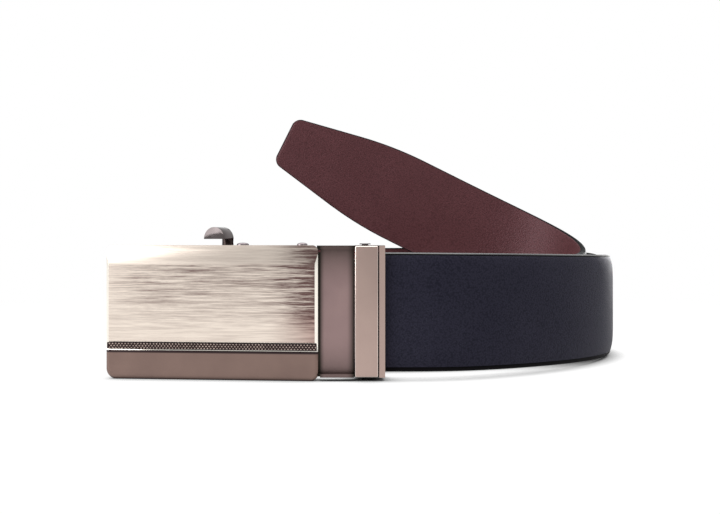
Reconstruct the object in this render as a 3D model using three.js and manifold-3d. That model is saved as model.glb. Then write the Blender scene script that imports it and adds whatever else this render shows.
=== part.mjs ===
// Ratchet belt, standing loosely coiled on its lower edge, with the buckle in front on the left
// and the free end of the strap rising at the back.
// Millimetres, +X right, +Y away from the front, +Z up. The coil is laid out with the outer face of
// the strap, where it leaves the clamp, on the plane Y = 0, and the group is centred at the end.

import * as THREE from 'three';
import { mergeVertices } from 'three/addons/utils/BufferGeometryUtils.js';
import Module from 'manifold-3d';

const wasm = await Module();
wasm.setup();

// Running gap between pieces that touch on the real belt
const GAP = 0.3;

// Strap: two leathers glued back to back
const STRAP_WIDTH = 35;
const OUTER_LEATHER = 1.8;
const INNER_LEATHER = 1.1;
const EDGE_CHAMFER = 0.8;
const CLAMPED_LENGTH = 7;

// Coil
const COIL_WIDTH = 153.5;
const COIL_DEPTH = 128;
const COIL_LEFT = -61;
const COIL_TURNS = 2.53;
const LAYER_PITCH = 4.1;
const BUCKLE_ROOM = 18;
const BACK_LIFT = 2.4;
const AXIS_TILT = 13.3;
const LEAN_ROOM = 3.4;
const TAIL_LENGTH = 67.5;

// Tip of the free end
const TAPER_LENGTH = 40.5;
const TIP_WIDTH = 20;
const TIP_RADIUS = 3;

// Ratchet track, sewn to the inner leather where the coil hides it
const TRACK_WIDTH = 8;
const TRACK_BASE = 0.6;
const TOOTH_HEIGHT = 0.7;
const TOOTH_PITCH = 6;
const TOOTH_FLANK = 0.6;
const TRACK_START_TURNS = 1.62;
const TRACK_END_TURNS = 1.94;

// Face plate
const PLATE_LENGTH = 63.2;
const PLATE_HEIGHT = 39.5;
const PLATE_THICKNESS = 1.8;
const PLATE_CORNER = 1.8;
const BEVEL_HEIGHT = 5.5;
const BEVEL_DROP = 0.8;
const BEVEL_FALL = 1.1;
const SOFT_EDGE = 0.6;
const FACE_RELIEF = 0.3;
const LOWER_BAND = 8;
const LIP_HEIGHT = 0.5;
const KNURL_HEIGHT = 2;
const KNURL_DEPTH = 0.4;
const BUCKLE_TURN = 5.5;

// Frame behind the plate
const STRAP_CLEARANCE = 0.5;
const FRAME_WALL = 1;
const FRAME_INSET = 1.5;
const FRAME_NOSE = 2.8;
const BAR_WIDTH = 3;
const BAR_THICKNESS = 1.6;

// Hinge between buckle and neck
const HINGE_FROM_END = 5.1;
const HINGE_DEPTH = 4.2;
const HINGE_X = -17;
const HINGE_Y = 2.8;
const HINGE_RADIUS = 1.1;
const HINGE_HEAD = 1.55;
const EAR_RADIUS = 2;
const EAR_THICKNESS = 1;

// Guide pin across the frame
const GUIDE_FROM_HINGE = 17.8;
const GUIDE_OFFSET = 0.2;
const GUIDE_RADIUS = 1;
const GUIDE_HEAD = 1.8;
const HEAD_HEIGHT = 1.2;

// Release lever and pawl
const SHAFT_FROM_HINGE = 24.3;
const SHAFT_BEHIND_HINGE = 8.9;
const SHAFT_RADIUS = 1;
const COLLAR_RADIUS = 1.75;
const KNOB_LIFT = 1.8;
const KNOB_RADIUS = 3.6;
const KNOB_THICKNESS = 5.4;
const KNOB_TURN = 18.5;
const KNOB_ACROSS = 1.7;
const KNOB_ALONG = 2.4;
const PAWL_HUB = 2;
const PAWL_REACH = 9.5;
const PAWL_WIDTH = 30;
const PAWL_TOOTH = 0.6;

// Neck channel and strap clamp
const NECK_CLEARANCE = 0.65;
const NECK_RISE = 0.5;
const NECK_WALL = 1;
const NECK_LEFT = -11.6;
const NECK_TUCK = 1;
const TUCK_FRONT = 0.75;
const NECK_FRONT = -1.6;
const WEB_FRONT = 2.2;
const WEB_THICKNESS = 1.2;
const BAND_LEFT = -1.5;
const BAND_WIDTH = 6.8;
const BAND_THICKNESS = 1.6;
const BAND_INSET = 0.1;
const LOOP_WIDTH = 1.7;
const LOOP_WALL = 1.2;
const BAND_SOFT_EDGE = 0.3;

// Clamp jaw behind the strap
const JAW_X = 1.5;
const JAW_HUB = 1.8;
const JAW_TOOTH = 1.3;
const JAW_ARM = 8;
const JAW_ARM_THICKNESS = 1.2;
const JAW_ARM_INSET = 3;
const JAW_PIN_RADIUS = 1;
const JAW_PIN_HEAD = 1.7;
const JAW_PIN_CROWN = 0.3;

// Control points of one whole turn of the coil, as shares of its width and depth.
// The first three lie on the front, so the strap leaves the clamp straight.
const COIL_POINTS = [
  { across: 0.27, back: 0 },
  { across: 0.43, back: 0 },
  { across: 0.58, back: 0 },
  { across: 0.74, back: 0.11 },
  { across: 0.885, back: 0.26 },
  { across: 0.995, back: 0.475 },
  { across: 0.995, back: 0.735 },
  { across: 0.865, back: 0.945 },
  { across: 0.64, back: 1.005 },
  { across: 0.41, back: 1.005 },
  { across: 0.19, back: 0.95 },
  { across: 0.03, back: 0.77 },
  { across: 0.005, back: 0.515 },
  { across: 0.07, back: 0.19 },
];

// How far each layer lies inside the first one, by turns from the clamp
const INSETS = [
  { turn: 0, layers: 0, room: 0, lean: 0 },
  { turn: 0.64, layers: 0, room: 0, lean: 0 },
  { turn: 1.05, layers: 0.4, room: 1, lean: 0 },
  { turn: 1.28, layers: 1, room: 0, lean: 0 },
  { turn: 1.64, layers: 1, room: 0, lean: 0 },
  { turn: 2.05, layers: 1.4, room: 1, lean: 0 },
  { turn: 2.28, layers: 2, room: 0, lean: 1 },
  { turn: 2.53, layers: 2, room: 0, lean: 1 },
];

// Height of the lower edge, by turns from the clamp: the second layer rides up at the back
const LIFTS = [
  { turn: 0, clamp: 1, back: 0 },
  { turn: 0.42, clamp: 0, back: 0 },
  { turn: 1.2, clamp: 0, back: 0 },
  { turn: 1.5, clamp: 0, back: 1 },
  { turn: 1.92, clamp: 0, back: 0 },
  { turn: 2.53, clamp: 0, back: 0 },
];

// Turns over which the coil's axis tips over, so that the last bend climbs
const TILT_FROM_TURNS = 2.15;
const TILT_TO_TURNS = 2.38;
const STEPS_PER_TURN = 60;

const STRAP_THICKNESS = OUTER_LEATHER + GAP + INNER_LEATHER;
const FRAME_HEIGHT = STRAP_WIDTH + 2 * (STRAP_CLEARANCE + FRAME_WALL);
const NECK_HEIGHT = STRAP_WIDTH + 2 * (NECK_CLEARANCE + NECK_WALL);
const NECK_LIFT = (PLATE_HEIGHT - NECK_HEIGHT) / 2 + NECK_RISE;
const CLAMP_LIFT = NECK_LIFT + NECK_WALL + GAP;
const HEADING_STEP = 0.001;

const leather = (color) => new THREE.MeshStandardMaterial({ color, roughness: 0.6 });
const metal = (color) => new THREE.MeshStandardMaterial({ color, roughness: 0.35, metalness: 1 });
const NAVY_LEATHER = leather('#2a2833');
const BROWN_LEATHER = leather('#4d2f31');
const BLACK_PLASTIC = leather('#1b1a1c');
const CHAMPAGNE = metal('#d8cfc0');
const TAUPE = metal('#84706b');
const MAUVE = metal('#ae978f');
const GUNMETAL = metal('#4a4346');

const radians = THREE.MathUtils.degToRad;

// Values between the two rows round a turn, eased at both ends
function blendRows(rows, turn, names) {
  const passed = rows.filter((row) => row.turn < turn).length;
  const next = THREE.MathUtils.clamp(passed, 1, rows.length - 1);
  const from = rows[next - 1];
  const to = rows[next];
  const share = THREE.MathUtils.smoothstep(turn, from.turn, to.turn);
  return names.map((name) => from[name] + (to[name] - from[name]) * share);
}

// Closed cubic B-spline through one turn of the coil, starting on the straight front
function outlineAt(turn) {
  const count = COIL_POINTS.length;
  const place = turn * count;
  const first = Math.floor(place);
  const u = place - first;
  const weights = [
    (1 - u) ** 3 / 6,
    (3 * u ** 3 - 6 * u ** 2 + 4) / 6,
    (-3 * u ** 3 + 3 * u ** 2 + 3 * u + 1) / 6,
    u ** 3 / 6,
  ];
  const spot = new THREE.Vector2();
  weights.forEach((weight, step) => {
    const point = COIL_POINTS[(first + step + count) % count];
    spot.x += weight * (COIL_LEFT + point.across * COIL_WIDTH);
    spot.y += weight * point.back * COIL_DEPTH;
  });
  return spot;
}

// Outer face of the strap on the flat, moved inwards by the layers outside it
function flatAt(turn) {
  const spot = outlineAt(turn);
  const ahead = outlineAt(turn + HEADING_STEP).sub(outlineAt(turn - HEADING_STEP)).normalize();
  const [layers, room, lean] = blendRows(INSETS, turn, ['layers', 'room', 'lean']);
  const inset = layers * LAYER_PITCH + room * BUCKLE_ROOM + lean * LEAN_ROOM;
  return spot.add(new THREE.Vector2(-ahead.y, ahead.x).multiplyScalar(inset));
}

function headingAt(turn) {
  const step = flatAt(turn + HEADING_STEP).sub(flatAt(turn - HEADING_STEP));
  const whole = Math.round(turn - Math.atan2(step.y, step.x) / (2 * Math.PI));
  return Math.atan2(step.y, step.x) + whole * 2 * Math.PI;
}

// Direction of travel, way in and way up of the strap for a heading round a tipped axis
function frameAt(heading, tilt) {
  const axis = new THREE.Vector3(Math.sin(tilt), 0, Math.cos(tilt));
  const across = new THREE.Vector3(Math.cos(tilt), 0, -Math.sin(tilt));
  const round = across.clone().multiplyScalar(Math.cos(heading)).setY(Math.sin(heading));
  return {
    ahead: round.clone().multiplyScalar(Math.cos(tilt)).addScaledVector(axis, Math.sin(tilt)),
    inward: across.clone().multiplyScalar(-Math.sin(heading)).setY(Math.cos(heading)),
    up: axis.clone().multiplyScalar(Math.cos(tilt)).addScaledVector(round, -Math.sin(tilt)),
  };
}

function tiltAt(turn) {
  return radians(AXIS_TILT) * THREE.MathUtils.smoothstep(turn, TILT_FROM_TURNS, TILT_TO_TURNS);
}

// Half width of the strap, narrowed to the blunt tip
function halfWidthAt(toTip) {
  const taper = THREE.MathUtils.clamp(toTip / TAPER_LENGTH, 0, 1);
  const straight = TIP_WIDTH / 2 + (STRAP_WIDTH - TIP_WIDTH) / 2 * taper;
  const short = Math.max(0, TIP_RADIUS - toTip);
  return straight - TIP_RADIUS + Math.sqrt(TIP_RADIUS ** 2 - short ** 2);
}

// Stations along the strap, each with its place at mid width on the outer face
function layStrap() {
  const stations = [];
  const place = new THREE.Vector3();
  const start = flatAt(0);
  const count = Math.round(STEPS_PER_TURN * COIL_TURNS);
  const add = (turn, spot, frame, half) => {
    const [clamp, back] = blendRows(LIFTS, turn, ['clamp', 'back']);
    const lift = clamp * CLAMP_LIFT + back * BACK_LIFT + STRAP_WIDTH / 2;
    const lifted = spot.clone();
    lifted.z += lift;
    stations.push({ turn, place: lifted, half, ...frame });
  };
  const flat = frameAt(0, 0);
  place.set(start.x, start.y, 0);
  const strapStart = BAND_LEFT + BAND_WIDTH + GAP - CLAMPED_LENGTH;
  add(0, new THREE.Vector3(strapStart, start.y, 0), flat, STRAP_WIDTH / 2);
  add(0, place, flat, STRAP_WIDTH / 2);
  for (let step = 1; step <= count; step += 1) {
    const middle = (step - 0.5) / STEPS_PER_TURN;
    const stride = flatAt(step / STEPS_PER_TURN).distanceTo(flatAt((step - 1) / STEPS_PER_TURN));
    place.addScaledVector(frameAt(headingAt(middle), tiltAt(middle)).ahead, stride);
    const turn = step / STEPS_PER_TURN;
    add(turn, place, frameAt(headingAt(turn), tiltAt(turn)), STRAP_WIDTH / 2);
  }
  const tail = frameAt(headingAt(COIL_TURNS), radians(AXIS_TILT));
  const straight = TAIL_LENGTH - TAPER_LENGTH;
  const cornerSteps = 4;
  const spots = [straight / 2, straight, straight + TAPER_LENGTH / 2];
  for (let step = cornerSteps; step >= 0; step -= 1) {
    spots.push(TAIL_LENGTH - TIP_RADIUS * (1 - Math.cos(Math.PI / 2 * step / cornerSteps)));
  }
  for (const along of spots) {
    const spot = place.clone().addScaledVector(tail.ahead, along);
    add(COIL_TURNS, spot, tail, halfWidthAt(TAIL_LENGTH - along));
  }
  return stations;
}

// Closed solid swept through rings of corners. The two halves of a ring split their quads along
// matching diagonals, so that two layers stay parallel where the strap twists.
function sweep(rings) {
  const corners = rings[0].length;
  const positions = rings.flat().flatMap((corner) => corner.toArray());
  const faces = [];
  for (let ring = 0; ring + 1 < rings.length; ring += 1) {
    for (let corner = 0; corner < corners; corner += 1) {
      const next = (corner + 1) % corners;
      const a = ring * corners + corner;
      const b = ring * corners + next;
      const [c, d] = [a + corners, b + corners];
      if (corner < corners / 2) faces.push(a, d, b, a, c, d);
      else faces.push(a, c, b, b, c, d);
    }
  }
  const last = (rings.length - 1) * corners;
  for (let corner = 1; corner + 1 < corners; corner += 1) {
    faces.push(0, corner, corner + 1, last, last + corner + 1, last + corner);
  }
  const geometry = new THREE.BufferGeometry();
  geometry.setAttribute('position', new THREE.Float32BufferAttribute(positions, 3));
  geometry.setIndex(faces);
  geometry.computeVertexNormals();
  return geometry;
}

// One leather of the strap, from one depth behind the outer face to another
function leatherLayer(stations, from, to, outerChamfer) {
  return sweep(stations.map(({ place, inward, up, half }) => {
    const corner = (depth, height) => {
      return place.clone().addScaledVector(inward, depth).addScaledVector(up, height);
    };
    const round = Math.min(outerChamfer, (to - from) / 2);
    return [
      corner(from, -half + round),
      corner(from, half - round),
      corner(from + round, half),
      corner(to, half),
      corner(to, -half),
      corner(from + round, -half),
    ];
  }));
}

// Toothed strip on the inner leather: each tooth rises slowly and falls steeply
function ratchetTrack(stations) {
  const run = stations.filter(({ turn }) => turn >= TRACK_START_TURNS && turn <= TRACK_END_TURNS);
  const curve = new THREE.CatmullRomCurve3(run.map(({ place }) => place));
  const length = curve.getLength();
  const teeth = Math.floor(length / TOOTH_PITCH);
  const inwardAt = (share) => {
    const ahead = curve.getTangentAt(share);
    return new THREE.Vector3(-ahead.y, ahead.x, 0).normalize();
  };
  const foot = STRAP_THICKNESS + GAP;
  const low = foot + TRACK_BASE;
  const high = low + TOOTH_HEIGHT;
  const rings = [];
  const ring = (along, depth) => {
    const share = THREE.MathUtils.clamp(along / length, 0, 1);
    const inward = inwardAt(share);
    const at = (inside, height) => {
      const spot = curve.getPointAt(share).addScaledVector(inward, inside);
      spot.z += height;
      return spot;
    };
    const half = TRACK_WIDTH / 2;
    rings.push([at(foot, -half), at(foot, half), at(depth, half), at(depth, -half)]);
  };
  ring(0, low);
  for (let tooth = 0; tooth < teeth; tooth += 1) {
    const along = tooth * TOOTH_PITCH;
    ring(along + TOOTH_FLANK, low);
    ring(along + TOOTH_PITCH - TOOTH_FLANK, high);
    ring(along + TOOTH_PITCH, low);
  }
  return sweep(rings);
}

// Outline in the XY plane given as corners, raised from one height to another
function prism(corners, bottom, top) {
  const shape = new THREE.Shape(corners.map(([x, y]) => new THREE.Vector2(x, y)));
  const geometry = new THREE.ExtrudeGeometry(shape, { depth: top - bottom, bevelEnabled: false });
  return geometry.translate(0, 0, bottom);
}

function block(left, right, front, back, bottom, top) {
  return prism([[left, front], [right, front], [right, back], [left, back]], bottom, top);
}

function rod(x, y, radius, bottom, top, sides = 20) {
  const geometry = new THREE.CylinderGeometry(radius, radius, top - bottom, sides);
  return geometry.rotateX(Math.PI / 2).translate(x, y, (top + bottom) / 2);
}

function toSolid(geometry) {
  const bare = geometry.clone();
  bare.deleteAttribute('normal');
  bare.deleteAttribute('uv');
  const merged = mergeVertices(bare, 1e-5);
  return new wasm.Manifold(new wasm.Mesh({
    numProp: 3,
    vertProperties: new Float32Array(merged.attributes.position.array),
    triVerts: new Uint32Array(merged.index.array),
  }));
}

function toGeometry(solid) {
  const mesh = solid.getMesh();
  const geometry = new THREE.BufferGeometry();
  geometry.setAttribute('position', new THREE.BufferAttribute(new Float32Array(mesh.vertProperties), 3));
  geometry.setIndex(new THREE.BufferAttribute(new Uint32Array(mesh.triVerts), 1));
  geometry.computeVertexNormals();
  return geometry;
}

// Joins the first list of shapes and takes the second list away
function carve(added, removed = []) {
  let solid = added.map(toSolid).reduce((whole, next) => whole.add(next));
  for (const shape of removed) solid = solid.subtract(toSolid(shape));
  return toGeometry(solid);
}

function named(name, geometry, material) {
  const mesh = new THREE.Mesh(geometry, material);
  mesh.name = name;
  return mesh;
}

const PLATE_RIGHT = HINGE_FROM_END;
const PLATE_LEFT = HINGE_FROM_END - PLATE_LENGTH;
const PLATE_FRONT = -HINGE_DEPTH;
const PLATE_BACK = PLATE_FRONT + PLATE_THICKNESS;
const KNURL_BOTTOM = LOWER_BAND + LIP_HEIGHT;
const KNURL_TOP = KNURL_BOTTOM + KNURL_HEIGHT + 2 * GAP;
const KNURL_FLOOR = PLATE_FRONT + FACE_RELIEF + KNURL_DEPTH + GAP;

// Plate with a bevelled top, a recess for the knurled strip and a lip under it
function facePlate() {
  const face = PLATE_FRONT + FACE_RELIEF;
  const profile = new THREE.Shape();
  profile.moveTo(PLATE_BACK, 0);
  profile.lineTo(face + SOFT_EDGE, 0);
  profile.quadraticCurveTo(face, 0, face, SOFT_EDGE * 2);
  profile.lineTo(face, LOWER_BAND);
  profile.lineTo(PLATE_FRONT, LOWER_BAND);
  profile.lineTo(PLATE_FRONT, KNURL_BOTTOM);
  profile.lineTo(KNURL_FLOOR, KNURL_BOTTOM);
  profile.lineTo(KNURL_FLOOR, KNURL_TOP);
  profile.lineTo(face, KNURL_TOP);
  profile.lineTo(face, PLATE_HEIGHT - BEVEL_HEIGHT);
  profile.lineTo(face + BEVEL_DROP, PLATE_HEIGHT - BEVEL_DROP / 2);
  profile.lineTo(face + BEVEL_FALL, PLATE_HEIGHT);
  profile.lineTo(PLATE_BACK, PLATE_HEIGHT);
  const bar = new THREE.ExtrudeGeometry(profile, {
    depth: PLATE_LENGTH, bevelEnabled: false, curveSegments: 4,
  });
  bar.applyMatrix4(new THREE.Matrix4().set(
    0, 0, 1, PLATE_LEFT,
    1, 0, 0, 0,
    0, 1, 0, 0,
    0, 0, 0, 1,
  ));
  const outline = roundedOutline(PLATE_LENGTH, PLATE_HEIGHT, PLATE_CORNER);
  const mask = new THREE.ExtrudeGeometry(outline, {
    depth: PLATE_THICKNESS + 2 * GAP, bevelEnabled: false, curveSegments: 4,
  });
  mask.rotateX(Math.PI / 2);
  mask.translate((PLATE_LEFT + PLATE_RIGHT) / 2, PLATE_BACK + GAP, PLATE_HEIGHT / 2);
  return toGeometry(toSolid(bar).intersect(toSolid(mask)));
}

function roundedOutline(width, height, radius) {
  const [x, y] = [width / 2, height / 2];
  const shape = new THREE.Shape();
  shape.moveTo(-x + radius, -y);
  shape.absarc(x - radius, -y + radius, radius, -Math.PI / 2, 0, false);
  shape.absarc(x - radius, y - radius, radius, 0, Math.PI / 2, false);
  shape.absarc(-x + radius, y - radius, radius, Math.PI / 2, Math.PI, false);
  shape.absarc(-x + radius, -y + radius, radius, Math.PI, Math.PI * 1.5, false);
  return shape;
}

function knurlStrip() {
  const front = PLATE_FRONT + FACE_RELIEF;
  return block(
    PLATE_LEFT + GAP, PLATE_RIGHT - GAP, front, front + KNURL_DEPTH,
    KNURL_BOTTOM + GAP, KNURL_TOP - GAP,
  );
}

const FRAME_BOTTOM = (PLATE_HEIGHT - FRAME_HEIGHT) / 2;
const FRAME_TOP = FRAME_BOTTOM + FRAME_HEIGHT;
const FRAME_FRONT = PLATE_BACK + GAP;
const FRAME_BACK = SHAFT_BEHIND_HINGE + SHAFT_RADIUS + GAP + FRAME_WALL / 2;
const FRAME_LEFT = PLATE_LEFT + FRAME_INSET;
const GUIDE_X = -GUIDE_FROM_HINGE;
const SHAFT_X = -SHAFT_FROM_HINGE;

// Two side walls joined by a bar at the entry and a bar behind the hinge
function buckleFrame() {
  const slope = FRAME_BACK - HINGE_DEPTH;
  const wall = [
    [FRAME_LEFT, FRAME_FRONT],
    [FRAME_NOSE, FRAME_FRONT],
    [FRAME_NOSE, FRAME_NOSE],
    [FRAME_NOSE - slope, FRAME_BACK],
    [FRAME_LEFT + BAR_THICKNESS, FRAME_BACK],
    [FRAME_LEFT, FRAME_BACK - BAR_THICKNESS],
  ];
  const barBack = FRAME_BACK - BAR_THICKNESS / 2;
  const [barLow, barHigh] = [FRAME_BOTTOM + FRAME_WALL / 2, FRAME_TOP - FRAME_WALL / 2];
  const bar = (left) => {
    return block(left, left + BAR_WIDTH, barBack - BAR_THICKNESS, barBack, barLow, barHigh);
  };
  const hole = (x, y, radius) => rod(x, y, radius + GAP, FRAME_BOTTOM - GAP, FRAME_TOP + GAP);
  return carve(
    [
      prism(wall, FRAME_BOTTOM, FRAME_BOTTOM + FRAME_WALL),
      prism(wall, FRAME_TOP - FRAME_WALL, FRAME_TOP),
      bar(FRAME_LEFT + BAR_THICKNESS),
      bar(SHAFT_X + PAWL_REACH + BAR_WIDTH),
    ],
    [
      hole(0, 0, HINGE_RADIUS),
      hole(GUIDE_X, GUIDE_OFFSET, GUIDE_RADIUS),
      hole(SHAFT_X, SHAFT_BEHIND_HINGE, SHAFT_RADIUS),
    ],
  );
}

// Pin with a low head on the frame's upper wall
function headedPin(x, y, radius, headRadius, seat) {
  return carve([
    rod(x, y, radius, FRAME_BOTTOM, seat + GAP + HEAD_HEIGHT / 2),
    rod(x, y, headRadius, seat + GAP, seat + GAP + HEAD_HEIGHT),
  ]);
}

// Upright shaft with a collar and a half round knob above the plate
function releaseLever() {
  const knobBottom = PLATE_HEIGHT + KNOB_LIFT;
  const half = new THREE.Shape();
  half.moveTo(-KNOB_RADIUS, 0);
  half.absarc(0, 0, KNOB_RADIUS, Math.PI, 0, true);
  const knob = new THREE.ExtrudeGeometry(half, {
    depth: KNOB_THICKNESS, bevelEnabled: false, curveSegments: 14,
  });
  knob.rotateX(Math.PI / 2);
  knob.translate(-KNOB_ACROSS, KNOB_THICKNESS / 2 - KNOB_ALONG, 0);
  knob.rotateZ(-radians(KNOB_TURN));
  knob.translate(SHAFT_X, SHAFT_BEHIND_HINGE, knobBottom);
  const shaft = rod(SHAFT_X, SHAFT_BEHIND_HINGE, SHAFT_RADIUS, FRAME_BOTTOM, FRAME_TOP + 2 * GAP);
  const collar = rod(SHAFT_X, SHAFT_BEHIND_HINGE, COLLAR_RADIUS, FRAME_TOP + GAP, knobBottom + GAP);
  return carve([shaft, collar, knob]);
}

// Hub on the shaft with an arm whose front edge bites the track
function pawl() {
  const middle = PLATE_HEIGHT / 2;
  const [bottom, top] = [middle - PAWL_WIDTH / 2, middle + PAWL_WIDTH / 2];
  const bore = SHAFT_RADIUS + GAP;
  const hubFront = SHAFT_BEHIND_HINGE - PAWL_HUB;
  const tip = hubFront - PAWL_TOOTH;
  const end = SHAFT_X + PAWL_REACH;
  const arm = prism([
    [SHAFT_X, SHAFT_BEHIND_HINGE + bore],
    [SHAFT_X, hubFront],
    [end - PAWL_HUB, hubFront],
    [end, tip],
    [end, SHAFT_BEHIND_HINGE - bore / 2],
  ], bottom, top);
  return carve(
    [rod(SHAFT_X, SHAFT_BEHIND_HINGE, PAWL_HUB, bottom, top), arm],
    [rod(SHAFT_X, SHAFT_BEHIND_HINGE, bore, bottom - GAP, top + GAP)],
  );
}

const NECK_TOP = NECK_LIFT + NECK_HEIGHT;
const BAND_RIGHT = BAND_LEFT + BAND_WIDTH;
const LOOP_LEFT = BAND_RIGHT + GAP;
const LOOP_RIGHT = LOOP_LEFT + LOOP_WIDTH;
const JAW_Y = STRAP_THICKNESS + GAP + JAW_TOOTH + JAW_HUB;
const FLANGE_BACK = JAW_Y + JAW_HUB + GAP;
const WEB_BACK = WEB_FRONT + WEB_THICKNESS;
const WEB_RIGHT = BAND_LEFT - GAP;

// Channel with hinge ears on the left and the strap's end loop on the right
function neckChannel() {
  const flangeOutline = [
    [NECK_LEFT, NECK_FRONT],
    [WEB_RIGHT, NECK_FRONT],
    [WEB_RIGHT, NECK_FRONT + BAND_THICKNESS],
    [LOOP_LEFT, NECK_FRONT + BAND_THICKNESS],
    [LOOP_LEFT, NECK_FRONT],
    [LOOP_RIGHT, NECK_FRONT],
    [LOOP_RIGHT, FLANGE_BACK],
    [WEB_RIGHT, FLANGE_BACK],
    [WEB_RIGHT, WEB_BACK],
    [NECK_LEFT - NECK_TUCK, WEB_BACK],
    [NECK_LEFT - NECK_TUCK, TUCK_FRONT],
    [NECK_LEFT, TUCK_FRONT],
  ];
  const [low, high] = [NECK_LIFT + NECK_WALL / 2, NECK_TOP - NECK_WALL / 2];
  const loopBack = STRAP_THICKNESS + GAP;
  const earLow = FRAME_BOTTOM + FRAME_WALL + GAP;
  const earHigh = FRAME_TOP - FRAME_WALL - GAP;
  const webLeft = HINGE_X + HINGE_RADIUS + 2 * GAP + NECK_WALL / 2;
  const ear = (bottom, top) => [
    rod(HINGE_X, HINGE_Y, EAR_RADIUS, bottom, top),
    prism([
      [HINGE_X, HINGE_Y - EAR_RADIUS],
      [webLeft + NECK_WALL, WEB_FRONT],
      [webLeft + NECK_WALL, WEB_BACK],
      [HINGE_X, HINGE_Y + EAR_RADIUS],
    ], bottom, top),
  ];
  return carve(
    [
      prism(flangeOutline, NECK_LIFT, NECK_LIFT + NECK_WALL),
      prism(flangeOutline, NECK_TOP - NECK_WALL, NECK_TOP),
      block(webLeft, WEB_RIGHT, WEB_FRONT, WEB_BACK, earLow, earHigh),
      block(NECK_LEFT, WEB_RIGHT, WEB_FRONT, WEB_BACK, low, high),
      block(LOOP_LEFT, LOOP_RIGHT, NECK_FRONT, NECK_FRONT + LOOP_WALL, low, high),
      block(LOOP_LEFT, LOOP_RIGHT, loopBack, loopBack + LOOP_WALL, low, high),
      ...ear(earLow, earLow + EAR_THICKNESS),
      ...ear(earHigh - EAR_THICKNESS, earHigh),
    ],
    [
      rod(HINGE_X, HINGE_Y, HINGE_RADIUS + GAP, earLow - GAP, earHigh + GAP),
      rod(JAW_X, JAW_Y, JAW_PIN_RADIUS + GAP, NECK_LIFT - GAP, NECK_TOP + GAP),
    ],
  );
}

function clampBand() {
  const front = NECK_FRONT - GAP;
  return prism([
    [BAND_LEFT, front + BAND_SOFT_EDGE],
    [BAND_LEFT + BAND_SOFT_EDGE, front],
    [BAND_RIGHT - BAND_SOFT_EDGE, front],
    [BAND_RIGHT, front + BAND_SOFT_EDGE],
    [BAND_RIGHT, front + BAND_THICKNESS],
    [BAND_LEFT, front + BAND_THICKNESS],
  ], NECK_LIFT + BAND_INSET, NECK_TOP - BAND_INSET);
}

// Jaw on its own pin behind the strap: hub, biting edge and lever arm
function clampJaw() {
  const [bottom, top] = [NECK_LIFT + NECK_WALL + GAP, NECK_TOP - NECK_WALL - GAP];
  const nose = STRAP_THICKNESS + GAP;
  const armFront = JAW_Y + JAW_HUB - JAW_ARM_THICKNESS;
  const biting = prism([
    [JAW_X, JAW_Y],
    [JAW_X - JAW_HUB, JAW_Y],
    [JAW_X - JAW_HUB, nose + JAW_TOOTH / 2],
    [JAW_X - JAW_HUB * 0.75, nose],
    [JAW_X - JAW_HUB * 0.5, nose + JAW_TOOTH / 2],
    [JAW_X - JAW_HUB * 0.25, nose],
    [JAW_X, nose + JAW_TOOTH / 2],
  ], bottom, top);
  const arm = block(
    JAW_X - JAW_ARM, JAW_X, armFront, JAW_Y + JAW_HUB, bottom + JAW_ARM_INSET, top - JAW_ARM_INSET,
  );
  return carve(
    [rod(JAW_X, JAW_Y, JAW_HUB, bottom, top), biting, arm],
    [rod(JAW_X, JAW_Y, JAW_PIN_RADIUS + GAP, bottom - GAP, top + GAP)],
  );
}

function jawPin() {
  return carve([
    rod(JAW_X, JAW_Y, JAW_PIN_RADIUS, NECK_LIFT, NECK_TOP + GAP + JAW_PIN_CROWN / 2),
    rod(JAW_X, JAW_Y, JAW_PIN_HEAD, NECK_TOP + GAP, NECK_TOP + GAP + JAW_PIN_CROWN),
  ]);
}

const stations = layStrap();
const innerFrom = OUTER_LEATHER + GAP;

const strap = new THREE.Group();
strap.add(
  named('strap_outer', leatherLayer(stations, 0, OUTER_LEATHER, EDGE_CHAMFER), NAVY_LEATHER),
  named('strap_inner', leatherLayer(stations, innerFrom, STRAP_THICKNESS, 0.01), BROWN_LEATHER),
  named('ratchet_track', ratchetTrack(stations), BLACK_PLASTIC),
);

const neck = new THREE.Group();
neck.add(
  named('neck_channel', neckChannel(), TAUPE),
  named('clamp_band', clampBand(), MAUVE),
  named('clamp_jaw', clampJaw(), GUNMETAL),
  named('jaw_pin', jawPin(), GUNMETAL),
);

const buckle = new THREE.Group();
buckle.add(
  named('face_plate', facePlate(), CHAMPAGNE),
  named('knurl_strip', knurlStrip(), TAUPE),
  named('buckle_frame', buckleFrame(), TAUPE),
  named('hinge_pin', headedPin(0, 0, HINGE_RADIUS, HINGE_HEAD, FRAME_TOP), GUNMETAL),
  named('guide_pin', headedPin(GUIDE_X, GUIDE_OFFSET, GUIDE_RADIUS, GUIDE_HEAD, FRAME_TOP), GUNMETAL),
  named('release_lever', releaseLever(), GUNMETAL),
  named('pawl', pawl(), GUNMETAL),
);
buckle.position.set(HINGE_X, HINGE_Y, 0);
buckle.rotation.z = -radians(BUCKLE_TURN);

// The origin is under the middle of the whole belt, on the surface that it stands on
const belt = new THREE.Group();
belt.add(strap, neck, buckle);
belt.updateMatrixWorld(true);
const bounds = new THREE.Box3().setFromObject(belt, true);
const middle = bounds.getCenter(new THREE.Vector3());
belt.position.set(-middle.x, -middle.y, -bounds.min.z);

export default belt;
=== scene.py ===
"""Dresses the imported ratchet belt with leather, plated metal, a knurled strip and a ratchet track."""

import logging
import math
from dataclasses import dataclass, field
from enum import Enum
from typing import Any, NamedTuple, Optional, Sequence

import bmesh
import bpy
from mathutils import Matrix, Vector


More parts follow.
